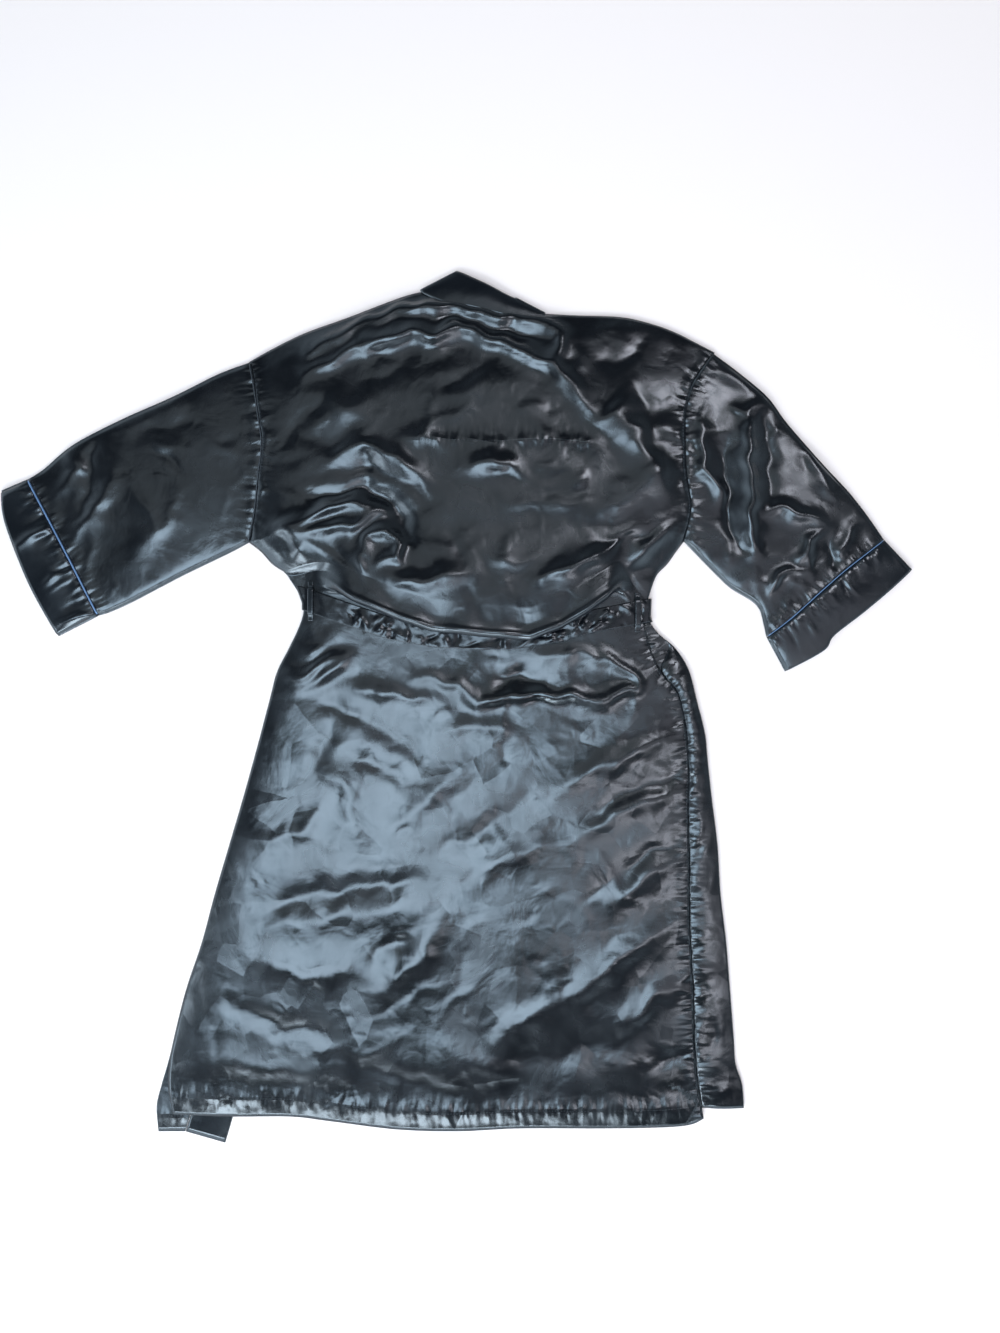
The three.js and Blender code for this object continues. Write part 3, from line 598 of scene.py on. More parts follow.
# %% The pressed facets
facets, facets_in, facets_out = new_group("pressed_facets", [("Facets per metre", 30.0), ("Bend", 0.011)],
                                          ["Height"])
place_on_gown = add_node(facets, "TexCoord").outputs["Object"]
wander = add_node(facets, "TexNoise", {"Vector": place_on_gown, "Scale": 30.0, "Detail": 1.0}).outputs
bend = add_node(facets, "CombineXYZ", {axis: facets_in["Bend"] for axis in "XYZ"}).outputs[0]
bent = vector_node(facets, "MULTIPLY_ADD", wander["Color"], bend, place_on_gown)[0]
cells = add_node(facets, "TexVoronoi", {"Vector": bent, "Scale": facets_in["Facets per metre"]},
                 voronoi_dimensions="2D").outputs
from_middle = vector_node(facets, "SUBTRACT", bent, cells["Position"])[0]
lean = vector_node(facets, "SUBTRACT", cells["Color"], (0.5, 0.5, 0.5))[0]
slope = vector_node(facets, "DOT_PRODUCT", lean, from_middle)["Value"]
up_gown = add_node(facets, "SeparateXYZ", {0: place_on_gown}).outputs["Y"]
weaker_in_bodice = map_range(facets, up_gown, (0.02, 0.11), (1.0, 0.4))
feed(facets_out, {"Height": math_node(facets, "MULTIPLY", slope, weaker_in_bodice)})
print("group:", facets.name)

# %% [markdown]
# A sewn seam gathers the cloth beside it into short puckers that cross the seam and die away from it. The
# panels carry a second UV map, "seams", which holds the way along the nearest seam and the distance from
# it, in metres.

# %% The puckers beside a seam
puckers, puckers_in, puckers_out = new_group("seam_puckers", [("Reach", 0.014), ("Puckers per metre", 95.0)],
                                             ["Height", "Near"])
seam_uv = add_node(puckers, "UVMap", uv_map="seams").outputs["UV"]
seam = add_node(puckers, "SeparateXYZ", {0: seam_uv}).outputs
off_share = math_node(puckers, "DIVIDE", seam["Y"], puckers_in["Reach"])
squared = math_node(puckers, "MULTIPLY", off_share, off_share)
closeness = math_node(puckers, "POWER", 2.718, math_node(puckers, "MULTIPLY", squared, -1.0))
stretched = add_node(puckers, "CombineXYZ", {
    "X": math_node(puckers, "MULTIPLY", seam["X"], puckers_in["Puckers per metre"]),
    "Y": math_node(puckers, "MULTIPLY", seam["Y"], 30.0)}).outputs[0]
gathers = add_node(puckers, "TexNoise", {"Vector": stretched, "Scale": 1.0, "Detail": 1.0},
                   noise_dimensions="2D").outputs[0]
feed(puckers_out, {"Height": math_node(puckers, "MULTIPLY", gathers, closeness), "Near": closeness})
print("group:", puckers.name)

# %% [markdown]
# The satin itself puts these together. Its colour is nearly black, since what is seen is almost all
# reflection, and its relief is a stack of bumps from the broad creasing down to the weave. A fine speckle
# makes the gloss uneven, as the cut floats of real satin do, and anisotropy draws each highlight out along
# the threads.

# %% A glossy cloth
def speckles(tree, across, along):
    """Fine noise on the cloth's own UV, with its own number of grains a metre each way."""
    uv = add_node(tree, "TexCoord").outputs["UV"]
    scaled = vector_node(tree, "MULTIPLY", uv, (across, along, 0.0))[0]
    return add_node(tree, "TexNoise", {"Vector": scaled, "Scale": 1.0, "Detail": 1.0}).outputs[0]


def relief_of(tree, layers):
    """Lays bumps one over another: each layer is a height, its strength and its distance in metres."""
    normal = {}
    for height, strength, distance in layers:
        inputs = {"Height": height, "Strength": strength, "Distance": distance, **normal}
        bump = add_node(tree, "Bump", inputs)
        normal = {"Normal": bump.outputs["Normal"]}
    return normal


MASK_LIMITS = (0.3, 0.7)    # noise stays mostly between these


def cloth_material(name, dark, light, rough, seed, creasing=0.9, pressed=0.075, shine=0.62):
    """A glossy woven cloth. rough is the pair of roughness values that the creasing mask moves between."""
    material = bpy.data.materials.new(name)
    material.use_nodes = True
    tree = material.node_tree
    shader = tree.nodes["Principled BSDF"]
    small = add_node(tree, "Group", {"Seed": seed}, node_tree=crease).outputs
    facet = add_node(tree, "Group", node_tree=facets).outputs["Height"]
    fine_facet = add_node(tree, "Group", {"Facets per metre": 62.0, "Bend": 0.006}, node_tree=facets)
    gathered = add_node(tree, "Group", node_tree=puckers).outputs["Height"]
    threads = add_node(tree, "Group", node_tree=weave).outputs["Height"]
    colour = add_node(tree, "Mix", {"Factor": small["Mask"], "A": (*dark, 1), "B": (*light, 1)},
                      data_type="RGBA")
    feed(shader, {
        "IOR": 1.62, "Anisotropic": 0.45, "Specular Tint": (0.84, 0.94, 1.0, 1),
        "Sheen Weight": 0.02, "Sheen Roughness": 0.5, "Sheen Tint": (0.6, 0.72, 1.0, 1),
        "Specular IOR Level": shine,    # the middle value, for viewers that drop the link below
        "Base Color": colour.outputs["Result"],
        "Roughness": map_range(tree, small["Mask"], MASK_LIMITS, rough),
        "Tangent": add_node(tree, "Tangent", direction_type="UV_MAP").outputs["Tangent"],
    })
    gloss = map_range(tree, speckles(tree, 430.0, 330.0), MASK_LIMITS, (0.55 * shine, 1.4 * shine))
    feed(shader, {"Specular IOR Level": gloss})
    feed(shader, relief_of(tree, [
        (small["Height"], creasing, 0.0016),
        (facet, pressed, 1.0),
        (fine_facet.outputs["Height"], pressed * 0.35, 1.0),
        (speckles(tree, 900.0, 260.0), 0.7, 0.0004),
        (gathered, 1.0, 0.0030),
        (threads, 0.12, 0.00006),
    ]))
    return material


print("mask limits:", MASK_LIMITS)

# %% The gown's cloths
satin = cloth_material("satin", (0.0015, 0.0021, 0.0032), (0.0035, 0.0045, 0.0065), (0.19, 0.31), 0.0)
satin_band = cloth_material("satin_band", (0.0025, 0.0035, 0.005), (0.005, 0.007, 0.010), (0.18, 0.28), 4.0,
                            creasing=0.5, pressed=0.06)
satin_belt = cloth_material("satin_belt", (0.002, 0.0025, 0.004), (0.004, 0.005, 0.007), (0.16, 0.24), 4.0,
                            creasing=1.0, pressed=0.10, shine=0.42)
# The cuffs' raised seam edges: their pale blue is a painted highlight, the light such an edge catches.
seam_edge_painted_highlight = cloth_material("seam_edge_painted_highlight", (0.09, 0.17, 0.32), (0.14, 0.25, 0.44), (0.3, 0.4), 7.0,
                              creasing=0.2)
thread = cloth_material("sewing_thread", (0.006, 0.008, 0.012), (0.012, 0.015, 0.02), (0.4, 0.5), 9.0,
                        creasing=0.1)
print("materials:", [m.name for m in (satin, satin_band, satin_belt, seam_edge_painted_highlight, thread)])

# %% [markdown]
# ## The back
# The back is the panel that shows. It is one piece of cloth from hem to neck, drawn in by the belt, so its
# grid runs through three stretches: the skirt, the tuck where it doubles back behind the belt, and the
# bodice. The tuck can't be a height over the floor, because the cloth lies over itself there, so it follows
# a small profile.

# %% The back's own form, in millimetres
SKIRT_END = 0.55        # the shares of the grid's rows where the skirt and the tuck end
TUCK_END = 0.66
SKIRT_WIDTHS = (570, 372)     # at the hem and at the waist
BODICE_WIDTHS = (397, 480)    # at the waist and at the shoulders
BODICE_LENGTH = 300
ARMHOLE_FOOT, ARMHOLE_HEIGHT = 178, 200
WRAP_LIFT = 1.6     # the right front comes round the side and holds up the back's edge there
LOWER_CALM = 0.24   # the folds low on the skirt, away from the right side, are this much lower
# The tuck's profile, row by row: the share of the way to the roll's lip, what is added to it, and the height.
TUCK = [(0, -9, 0.0), (0, -2, 0.4), (0, 2.6, 2.4), (0, 1.6, 4.8), (0.5, 0, 5.4), (1, 3.0, 5.9), (1, 0, 9.0),
        (1, 0, 12.2), (1, 1.6, 15.0), (1, 5.0, 17.0), (1, 10, 15.6), (1, 19, 15.0)]


def through(rows, s):
    """Values read smoothly through evenly spaced rows: s from 0 to 1."""
    r = np.array(rows, float)
    r = np.concatenate([2 * r[:1] - r[1:2], r, 2 * r[-1:] - r[-2:-1]])
    at = np.clip(s, 0, 1) * (len(rows) - 1)
    i = np.clip(at.astype(int), 0, len(rows) - 2)
    f = (at - i)[..., None]
    a, b, c, d = r[i], r[i + 1], r[i + 2], r[i + 3]
    return b + 0.5 * f * (c - a + f * (2 * a - 5 * b + 4 * c - d + f * (3 * (b - c) + d - a)))


def waist_row(u, left, right, inner_y, eased):
    """A row across the waist: it ends at two seams and keeps to inner_y between them."""
    x = mix(left[0], right[0], u)
    inner = smooth(0, eased[0], u) * (1 - smooth(eased[1], 1, u))
    return np.stack([x, mix(mix(left[1], right[1], u), inner_y(x), inner)], -1)


def skirt_top(u):
    return waist_row(u, outline["skirt_left"][-1], outline["seam_right"][-1], lambda x: root_y(x) - 22,
                     (0.16, 0.86))


def bodice_foot(u):
    return waist_row(u, outline["bodice_left"][0], outline["bodice_right"][0],
                     lambda x: line_y("roll", x) + 30, (0.14, 0.9))


print("rows of the tuck:", len(TUCK))

# %% The back's points
skirt_plan = patch(curve(outline["hem"]), skirt_top, curve(outline["skirt_left"]),
                   curve(outline["seam_right"]))
bodice_plan = patch(bodice_foot, chain("shoulder_left", "neckline", "shoulder_right"),
                    chain("bodice_left", "armhole_left"), chain("bodice_right", "armhole_right"))


def skirt_points(u, v):
    """The skirt's surface, from the hem to the belt."""
    x, y = np.moveaxis(skirt_plan(u, v), -1, 0)
    rise = inward(np.minimum(u, 1 - u) * mix(*SKIRT_WIDTHS, v))
    edge = BACK_EDGE + np.maximum(held_up(x, y), WRAP_LIFT * (1 - smooth(40, 110, y)) * u)
    hem_free = smooth(-458, -425, y)
    folds = fold_heights(SKIRT_FOLDS + SKIRT_CRUMPLE, x, y) * (0.25 + 0.75 * rise)
    folds = folds * (1 - 0.85 * smooth(52, 70, y)) * (0.3 + 0.7 * hem_free)
    folds = folds * (1 - LOWER_CALM * (1 - smooth(80, 160, x)) * (1 - smooth(-10, 20, y)))
    return np.stack([x, y, mix(edge, table_at(SKIRT_SWELL, y), rise) + folds], -1)


def bodice_points(u, v):
    """The bodice's surface, from the roll's lip to the neck and the shoulders."""
    x, y = np.moveaxis(bodice_plan(u, v), -1, 0)
    rise = inward(np.minimum(u, 1 - u) * mix(*BODICE_WIDTHS, v))
    q = 1 - np.clip((y - ARMHOLE_FOOT) / ARMHOLE_HEIGHT, 0, 1)
    armhole_z = BACK_EDGE + ARMHOLE_SWELL * np.sin(np.pi * q) ** 0.8
    edge = mix(BACK_EDGE + held_up(x, y), armhole_z, smooth(170, 186, y))
    below_neck = (1 - v) * BODICE_LENGTH
    top_free = 1 - np.exp(-below_neck / 26)
    above_roll = mix(roll_full(x), 1, smooth(110, 190, y))
    swell = mix(table_at(SKIRT_SWELL, WAIST["y"]), table_at(BODICE_SWELL, y), above_roll)
    folds = fold_heights(BODICE_FOLDS + BODICE_CRUMPLE, x, y) * (0.3 + 0.7 * rise) * smooth(-0.02, 0.12, v)
    at_neck = fold_heights(NECK_FOLDS, x, y) * (1 - np.exp(-below_neck / 7))
    return np.stack([x, y, mix(BACK_EDGE, mix(edge, swell, rise) + folds, top_free) + at_neck], -1)


def tuck_points(u, k):
    """The cloth that doubles back behind the belt and hangs over it as a roll."""
    a, b = skirt_top(u), bodice_foot(u)
    flat = a + (b - a) * mix(0.12, 0.9, k)[..., None]
    x = flat[..., 0]
    to_lip, extra, height = np.moveaxis(through(TUCK, k), -1, 0)
    folded = mix(root_y(x), line_y("roll", x), to_lip) + extra
    full = roll_full(x)
    ripple = 0.09 * np.sin(x / 17.0 + np.sin(x / 31)) + 0.05 * np.sin(x / 7.3 + 1.0)
    wave = 1 + ripple * smooth(0.5, 0.8, k)
    return np.stack([x, mix(flat[..., 1], folded, full), waist_z(x) + height * full * wave], -1)


def back_points(u, v):
    """The back's middle surface: skirt, tuck and bodice in one run of rows."""
    parts = (skirt_points(u, np.clip(v / SKIRT_END, 0, 1)),
             tuck_points(u, np.clip((v - SKIRT_END) / (TUCK_END - SKIRT_END), 0, 1)),
             bodice_points(u, np.clip((v - TUCK_END) / (1 - TUCK_END), 0, 1)))
    lower = np.where((v < SKIRT_END)[..., None], parts[0], parts[1])
    return np.where((v > TUCK_END)[..., None], parts[2], lower)


print("middle of the back, mm:", back_points(np.array(0.5), np.array(0.8)).round(1))

# %% The back's grid
BACK_ACROSS, BACK_UP = 172, 276
HEM_TURN = 19
HEM_LINE = (beside(outline["hem"], HEM_TURN), 1.5)
BACK_LINE = [(-48, 286), (-10, 285), (40, 283), (90, 286), (140, 282)]
BACK_SEAMS = [(outline["armhole_left"], 2), (outline["armhole_right"], 2), (outline["seam_right"], 0),
              HEM_LINE, (BACK_LINE, 7)]
back = cloth_grid("satin_back", BACK_ACROSS, BACK_UP, back_points, (0.56, 0.98), seams=BACK_SEAMS)
finish_cloth(back, satin, PANEL_WALL)
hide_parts("back")
print("back:", len(back.data.vertices), "corners")

# %% [markdown]
# ## The fronts
# The fronts are under the back, so only their edges show: the left one at the lower left corner, and the
# right one where it comes round the skirt's right side and lies on top as far as the side seam. They are
# finished plainly all the same, because the gown may be looked at from below.

# %% Left and right front
top_left = [(-223, 370), (-198, 384), (-163, 401), (-116, 418), (-72, 435), (-48, 442), (-34, 444)]
corner_left = [(-321, -457), (-323, -430), (-318, -408), (-311, -384), *outline["skirt_left"][3:]]
front_left_plan = patch(curve([(-321, -457), (-292, -457)]), curve(top_left),
                        chain(corner_left, [(-163, 112), *outline["bodice_left"]], "armhole_left"),
                        curve(outline["band_left"]))
top_right = [(90, 420), (127, 418), (177, 416), (212, 409), (236, 401), (254, 392), (277, 380)]
right_side = chain("edge_right", "bodice_right", "armhole_right")
front_right_plan = patch(curve([(194, -421), (308, -431)]), curve(top_right), curve(outline["band_right"]),
                         right_side)
PANEL_END, TURN_END = 0.62, 0.76    # the shares of the grid's columns where the panel and its turn end
SHORT_OF_EDGE = 0.988               # the panel stops a little before the side, which leaves room to turn
TURN_SHARE = 0.72
STRIP_BULGE = 2.2
seam_line = np.array(outline["seam_right"], float)


def front_left_points(u, v):
    """The left front, flat but for what holds it up."""
    x, y = np.moveaxis(front_left_plan(u, v), -1, 0)
    return np.stack([x, y, front_left_z(x, y)], -1)


def front_right_points(u, v):
    """The panel, its turn round the skirt's side, and the strip that comes back over the top."""
    edge_x, edge_y = np.moveaxis(right_side(v), -1, 0)
    start_x, start_y = np.moveaxis(front_right_plan(np.full_like(u, SHORT_OF_EDGE), v), -1, 0)
    wrapped = 1 - smooth(34, 78, edge_y)
    seam_x = np.interp(edge_y, seam_line[:, 1], seam_line[:, 0])
    strip = np.maximum(4, edge_x - seam_x - WRAP_RADIUS + 2.2)
    over = edge_x - start_x

    panel_x, panel_y = np.moveaxis(front_right_plan(np.clip(u / PANEL_END, 0, 1) * SHORT_OF_EDGE, v), -1, 0)

    k = np.clip((u - PANEL_END) / (TURN_END - PANEL_END), 0, 1)
    turn_x = mix(start_x + over * TURN_SHARE * k, start_x + np.sin(k * np.pi) * WRAP_RADIUS, wrapped)
    turn_y = start_y + (edge_y - start_y) * k * (1 - wrapped)
    turn_z = front_right_z(start_x, start_y) + (1 - np.cos(k * np.pi * wrapped)) * WRAP_RADIUS

    share = np.clip((u - TURN_END) / (1 - TURN_END), 0, 1)
    last_x = mix(start_x + over * TURN_SHARE, start_x, wrapped)
    laid_x = last_x + (over - strip) * share
    strip_x = mix(mix(last_x, edge_x, share * 0.95), laid_x, wrapped)
    bulge = STRIP_BULGE * np.sin(np.pi * share) * wrapped
    pucker = fold_heights(STRIP_FOLDS, laid_x, turn_y) * share * wrapped
    strip_z = turn_z + bulge + pucker - 0.5 * share**4 * wrapped

    on_panel, on_turn = u < PANEL_END, u < TURN_END
    x = np.where(on_panel, panel_x, np.where(on_turn, turn_x, strip_x))
    y = np.where(on_panel, panel_y, turn_y)
    z = np.where(on_panel, front_right_z(panel_x, panel_y), np.where(on_turn, turn_z, strip_z))
    return np.stack([x, y, z], -1)


STRIP_FOLDS = scattered(53, 60, (250, -430, 300, 60), (14, 40), (3, 6), (0.8, 2.2), 0.9)
front_left = cloth_grid("satin_front_left", 34, 190, front_left_points, (0.20, 0.95),
                        seams=[([(-330, -439), (-280, -440)], 4)])
front_right = cloth_grid("satin_front_right", 64, 220, front_right_points, (0.27, 0.92),
                         seams=[(outline["seam_right"], 0), HEM_LINE])
for piece, node in ((front_left, "front_left"), (front_right, "front_right")):
    finish_cloth(piece, satin, PANEL_WALL)
    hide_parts(node)
print("fronts made")

# %% [markdown]
# ## Sleeves and cuffs
# A sleeve laid flat is still a tube: a lower layer on the floor, an upper one that swells a little, and a
# soft turn at each edge. Each is a closed ring carried along the arm. The cuffs are bands of doubled cloth,
# turned up and sewn round the sleeve's end, so they are made the same way and stand a little stiffer.

# %% Tubes
LAYER, TURN = 0.46, 0.04    # the shares of the ring that one flat layer and one turned edge take
EDGE_INSET = 1.4
SEAM_DIP = 0.9


def tube_points(start, end, along_under, along_over, heights, swell, folds):
    """A flattened tube between an armhole and a cuff. u goes round it and v along it."""
    plan = patch(along_under, along_over, start, end)

    def at(u, v):
        lower = np.clip(u / LAYER, 0, 1)
        upper = np.clip((u - LAYER - TURN) / LAYER, 0, 1)
        turn_a = np.clip((u - LAYER) / TURN, 0, 1)
        turn_b = np.clip((u - 1 + TURN) / TURN, 0, 1)
        at_a, at_b = (u > LAYER) & (u < LAYER + TURN), u > 1 - TURN
        over = u >= LAYER + TURN / 2
        q = np.where(over, 1 - upper, lower)
        ends = plan(v, np.zeros_like(v)), plan(v, np.ones_like(v))
        inset = EDGE_INSET / np.linalg.norm(ends[0] - ends[1], axis=-1)
        outwards = np.sin(np.pi * turn_a) * at_a - np.sin(np.pi * turn_b) * at_b
        x, y = np.moveaxis(plan(v, mix(inset, 1 - inset, q) + inset * outwards), -1, 0)
        dome = np.sin(np.pi * q) ** mix(0.18, 0.34, smooth(0.3, 0.7, q))
        height = mix(*heights, v) + swell * np.sin(np.pi * v) - SEAM_DIP * (1 - smooth(0, 0.03, v))
        ripple = fold_heights(folds, x, y) * smooth(0, 0.1, v) * (1 - smooth(0.93, 1, v))
        z = np.where(over, BACK_EDGE + dome * height + np.minimum(1, dome * 1.6) * ripple, FRONT_LIE)
        z = np.where(at_a, mix(FRONT_LIE, BACK_EDGE, smooth(0, 1, turn_a)), z)
        z = np.where(at_b, mix(BACK_EDGE, FRONT_LIE, smooth(0, 1, turn_b)), z)
        return np.stack([x, y, z], -1)
    return at


print("both flat layers take", 2 * LAYER, "of a tube's ring")

# %% The sleeves and the cuffs
SLEEVE_CRUMPLE = {"left": scattered(31, 30, (-460, 100, -210, 370), (20, 70), (4, 8), (0.3, 1.0), 1.0),
                  "right": scattered(37, 46, (250, 80, 460, 380), (20, 60), (4, 8), (0.5, 1.5), 1.3)}
CUFF_HEIGHTS = (4.6, 5.6)
TUBE_SWELL = 1.6
CUFF_PUCKERS = 13


def sleeve(side):
    """One sleeve, with its ends on the armhole and on the cuff's seam."""
    away = -1 if side == "left" else 1
    drop = 0 if side == "left" else -0.7
    armhole = [(x - away * 1.6, y + drop) for x, y in outline[f"armhole_{side}"]]
    cuff_seam = outline[f"cuff_seam_{side}"]
    points = tube_points(curve(armhole), curve(cuff_seam), curve(outline[f"sleeve_under_{side}"]),
                         curve(outline[f"sleeve_top_{side}"]), (ARMHOLE_SWELL, CUFF_HEIGHTS[0]), TUBE_SWELL,
                         SLEEVE_FOLDS + SLEEVE_CRUMPLE[side])
    return cloth_grid(f"satin_sleeve_{side}", 190, 90, points, (0.40, 0.26), closed=True,
                      seams=[(armhole, 2), (cuff_seam, 3)])


def cuff(side):
    """One cuff, with short puckers that run down from its seam."""
    seam, edge = outline[f"cuff_seam_{side}"], outline[f"cuff_edge_{side}"]
    dx, dy = (-0.5, -0.25) if side == "left" else (0.4, -0.5)
    seam = [(x + dx, y + dy) for x, y in seam]
    gathered = []
    for i in range(CUFF_PUCKERS):
        t = (i + 0.5 + 0.25 * math.sin(i * 2.1)) / CUFF_PUCKERS
        (x, y), (ex, ey) = curve(seam)(np.array(t)), curve(edge)(np.array(t))
        reach = 0.35 + 0.3 * math.sin(i * 1.7) ** 2
        gathered.append((2.6, 0.9 * math.cos(i * 2.3), [(x, y), (mix(x, ex, reach), mix(y, ey, reach))]))
    points = tube_points(curve(seam), curve(edge), curve([seam[0], edge[0]]), curve([seam[-1], edge[-1]]),
                         CUFF_HEIGHTS, TUBE_SWELL, SLEEVE_FOLDS + gathered)
    return cloth_grid(f"satin_cuff_{side}", 190, 16, points, (0.36, 0.05), closed=True, seams=[(seam, 1)])


for side in ("left", "right"):
    for piece, node, material, wall in ((sleeve(side), f"sleeve_{side}", satin, PANEL_WALL),
                                        (cuff(side), f"cuff_{side}", satin_band, BAND_WALL)):
        finish_cloth(piece, material, wall)
        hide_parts(node)
print("sleeves and cuffs made")

# %% [markdown]
# ## The neckband
# The neckband is one long ribbon of doubled satin. It runs up the left front, turns over at the shoulder,
# crosses the back of the neck and runs down the right front. A ribbon is easiest to hold by its two edges:
# the sewn one follows the neck edge, and the free one lies a band's width away.

# %% Neckband
# Round the neck, stop by stop: x, y and height of the sewn edge, then of the free edge.
NECK = [(-32.6, 445, 0.9, 8, 459, 0.9), (-37.5, 448.6, 1.9, -1, 467, 1.8), (-37, 444, 4.0, 5, 466, 3.0),
        (-14, 433, 5.6, 19, 459.5, 4.2), (12, 429, 6.0, 34, 452.5, 4.6), (36, 423.5, 6.0, 47, 445.5, 4.2),
        (62, 418, 5.6, 56, 441, 3.6), (91, 419, 4.4, 61.5, 438.6, 2.9), (94.5, 423.4, 2.0, 63, 438.2, 1.8),
        (88.2, 421, 0.9, 50, 424, 0.9)]
FRONT_STATIONS = 30


def band_side(name, side, height):
    """Sewn and free edge of the band along one front, from its hem up."""
    seam = curve(outline[name])
    t = np.arange(FRONT_STATIONS) / FRONT_STATIONS
    p, q = seam(t), seam(t + 0.01)
    way = (q - p) / np.linalg.norm(q - p, axis=1)[:, None]
    out = np.stack([way[:, 1], -way[:, 0]], -1) * side
    sewn = p + out * (SEAM_GAP + 0.1)
    free = sewn + out * BAND_WIDTH
    return np.column_stack([sewn, height(*sewn.T), free, height(*free.T)])


band_rows = np.vstack([band_side("band_left", 1, front_left_z), NECK,
                       band_side("band_right", -1, front_right_z)[::-1]])


def band_points(u, v):
    edges = through(band_rows, v)
    share = u[..., None]
    points = edges[..., :3] * (1 - share) + edges[..., 3:] * share
    neck = np.exp(-(((v - 0.5) * (len(band_rows) - 1) / 2.9) ** 4))
    points[..., 2] += neck * 1.4 * np.sin(np.pi * u)
    return points


neckband = cloth_grid("satin_neckband", 14, 420, band_points, (0.044, 1.95))
finish_cloth(neckband, satin_band, BAND_WALL)
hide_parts("neckband")
print("neckband made")

# %% [markdown]
# ## The belt
# The belt goes once round the waist, over the back, through a loop at each side and under the fronts to a
# knot. It is a crushed strip, so it carries short uneven creases across its width. The knot and the two
# tails lie under the gown and hold it up a little.

# %% The belt, in millimetres
BELT_OVER_BACK = 2.3
BELT_LAYER, BELT_TURN = 0.47, 0.03    # the shares of the ring that one run of the belt and one turn take
WAIST_ENDS = (-168, 205)
side_left = [(90, -166), (112, -166), (130, -173), (144, -183)]
side_right = [(79, 214), (96, 208), (120, 209), (140, 216)]
BELT_CRUSH = scattered(71, 170, (-165, 60, 205, 130), (6, 20), (1.8, 3.6), (0.8, 2.3), 1.1)


def belt_points(u, v):
    """A closed strip: under the fronts for u up to a half, and back over the gown."""
    off = (v - 0.5) * BELT_WIDTH
    left, right = (np.interp(line_y("belt", x0) + off, *np.array(side, float).T)
                   for x0, side in ((WAIST_ENDS[0], side_left), (WAIST_ENDS[1], side_right)))
    under = u < 0.5
    share = np.where(under, u / BELT_LAYER, (0.5 + BELT_LAYER - u) / BELT_LAYER)
    x = mix(left + 2, right - 2, np.clip(share, 0, 1))
    y = line_y("belt", x) + off
    turn = np.clip((np.where(under, u, u - 0.5) - BELT_LAYER) / BELT_TURN, 0, 1)
    crush = fold_heights(BELT_CRUSH, x, y) * np.sin(np.pi * np.clip(v * 0.86 + 0.07, 0, 1))
    crush = crush * (0.15 + 0.85 * smooth(-128, -96, x))
    low_z = 0.5 + 2.2 * (1 - smooth(22, 40, np.abs(x - 2)))
    high_z = waist_z(x) + BELT_OVER_BACK + crush * smooth(0, 0.06, share)
    z = mix(np.where(under, low_z, high_z), np.where(under, high_z, low_z), turn)
    x = x + np.sin(np.pi * turn) * np.where(under, 2.0, -2.0)
    return np.stack([x, line_y("belt", x) + off, z], -1)


belt = cloth_grid("satin_belt", 480, 20, belt_points, (0.80, 0.025), closed=True)
finish_cloth(belt, satin_belt, BELT_WALL)
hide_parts("belt")
print("belt:", len(belt.data.vertices), "corners")


# %% The knot, the tails and the loops
def knot_points(u, v):
    swell = np.sin(np.pi * u) ** 0.4 * np.sin(np.pi * v) ** 0.4
    ridge = 0.18 * np.sin((u * 3 + v * 1.4) * 2 * np.pi)
    return np.stack([mix(-13, 17, u), mix(57, 89, v), 0.9 + ridge * swell], -1)


def tail_points(path):
    route = curve(path)

    def at(u, v):
        p = route(1 - v)
        return np.stack([p[..., 0] + (u - 0.5) * BELT_WIDTH, p[..., 1], 0.5 + 0 * u], -1)
    return at


LOOP_WIDTH = 6


def loop_points(x):
    bridge = [(-21, 0.95), (-17, 1.1), (-14.5, 2.4), (-12, 3.9), (0, 4.1), (12, 3.9), (14.5, 2.4), (17, 1.1),
              (21, 0.95)]

    def at(u, v):
        off, rise = np.moveaxis(through(bridge, v), -1, 0)
        at_x = x + (u - 0.5) * LOOP_WIDTH
        return np.stack([at_x, line_y("belt", np.full_like(u, x)) + off, waist_z(at_x) + rise + 0.5], -1)
    return at


TAILS = {"left": [(-11, 56.7), (-15, 0), (-32, -90), (-46, -186), (-52, -271)],
         "right": [(16, 56.7), (22, 5), (36, -78), (42, -160), (40, -234)]}
LOOPS = {"left": -156.5, "right": 194}
knot = cloth_grid("satin_knot", 24, 24, knot_points, (0.04, 0.04))
small = [(knot, "belt_knot", KNOT_WALL)]
for side in ("left", "right"):
    tail = cloth_grid(f"satin_tail_{side}", 8, 90, tail_points(TAILS[side]), (0.025, 0.33))
    loop = cloth_grid(f"satin_loop_{side}", 5, 40, loop_points(LOOPS[side]), (0.006, 0.042))
    small += [(tail, f"belt_tail_{side}", BELT_WALL), (loop, f"belt_loop_{side}", LOOP_WALL)]
for piece, node, thick in small:
    finish_cloth(piece, satin_band, thick)
    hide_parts(node)
print("knot, tails and loops:", len(small))

# %% [markdown]
# ## Sewing
# Seams are what make cloth look sewn: rows of small stitches, each sunk a little between puckers. A row is
# laid by looking straight down at the finished cloth and setting one short stitch after another on what is
# found there, so the rows follow every fold. All the stitches of a row are one mesh.

# %% Rows of stitches
bpy.context.view_layer.update()
depsgraph = bpy.context.evaluated_depsgraph_get()


def top_of_cloth(x, y):
    """The highest point of the gown at a place given in millimetres."""
    start = Vector((x * MM + SHIFT[0], y * MM + SHIFT[1], 0.2))
    hit, where, _, _, _, _ = bpy.context.scene.ray_cast(depsgraph, start, Vector((0, 0, -1)))
    return where if hit and where.z > 0.0002 else None


def turned_to(bm, verts, axis, way, place):
    """Turns new corners from one axis to a direction, then carries them to their place."""
    matrix = Vector(axis).rotation_difference(way).to_matrix()
    bmesh.ops.rotate(bm, verts=verts, matrix=matrix)
    bmesh.ops.translate(bm, verts=verts, vec=place)


STITCH_PITCH, STITCH_LENGTH, STITCH_RADIUS = 3.2, 2.0, 0.22


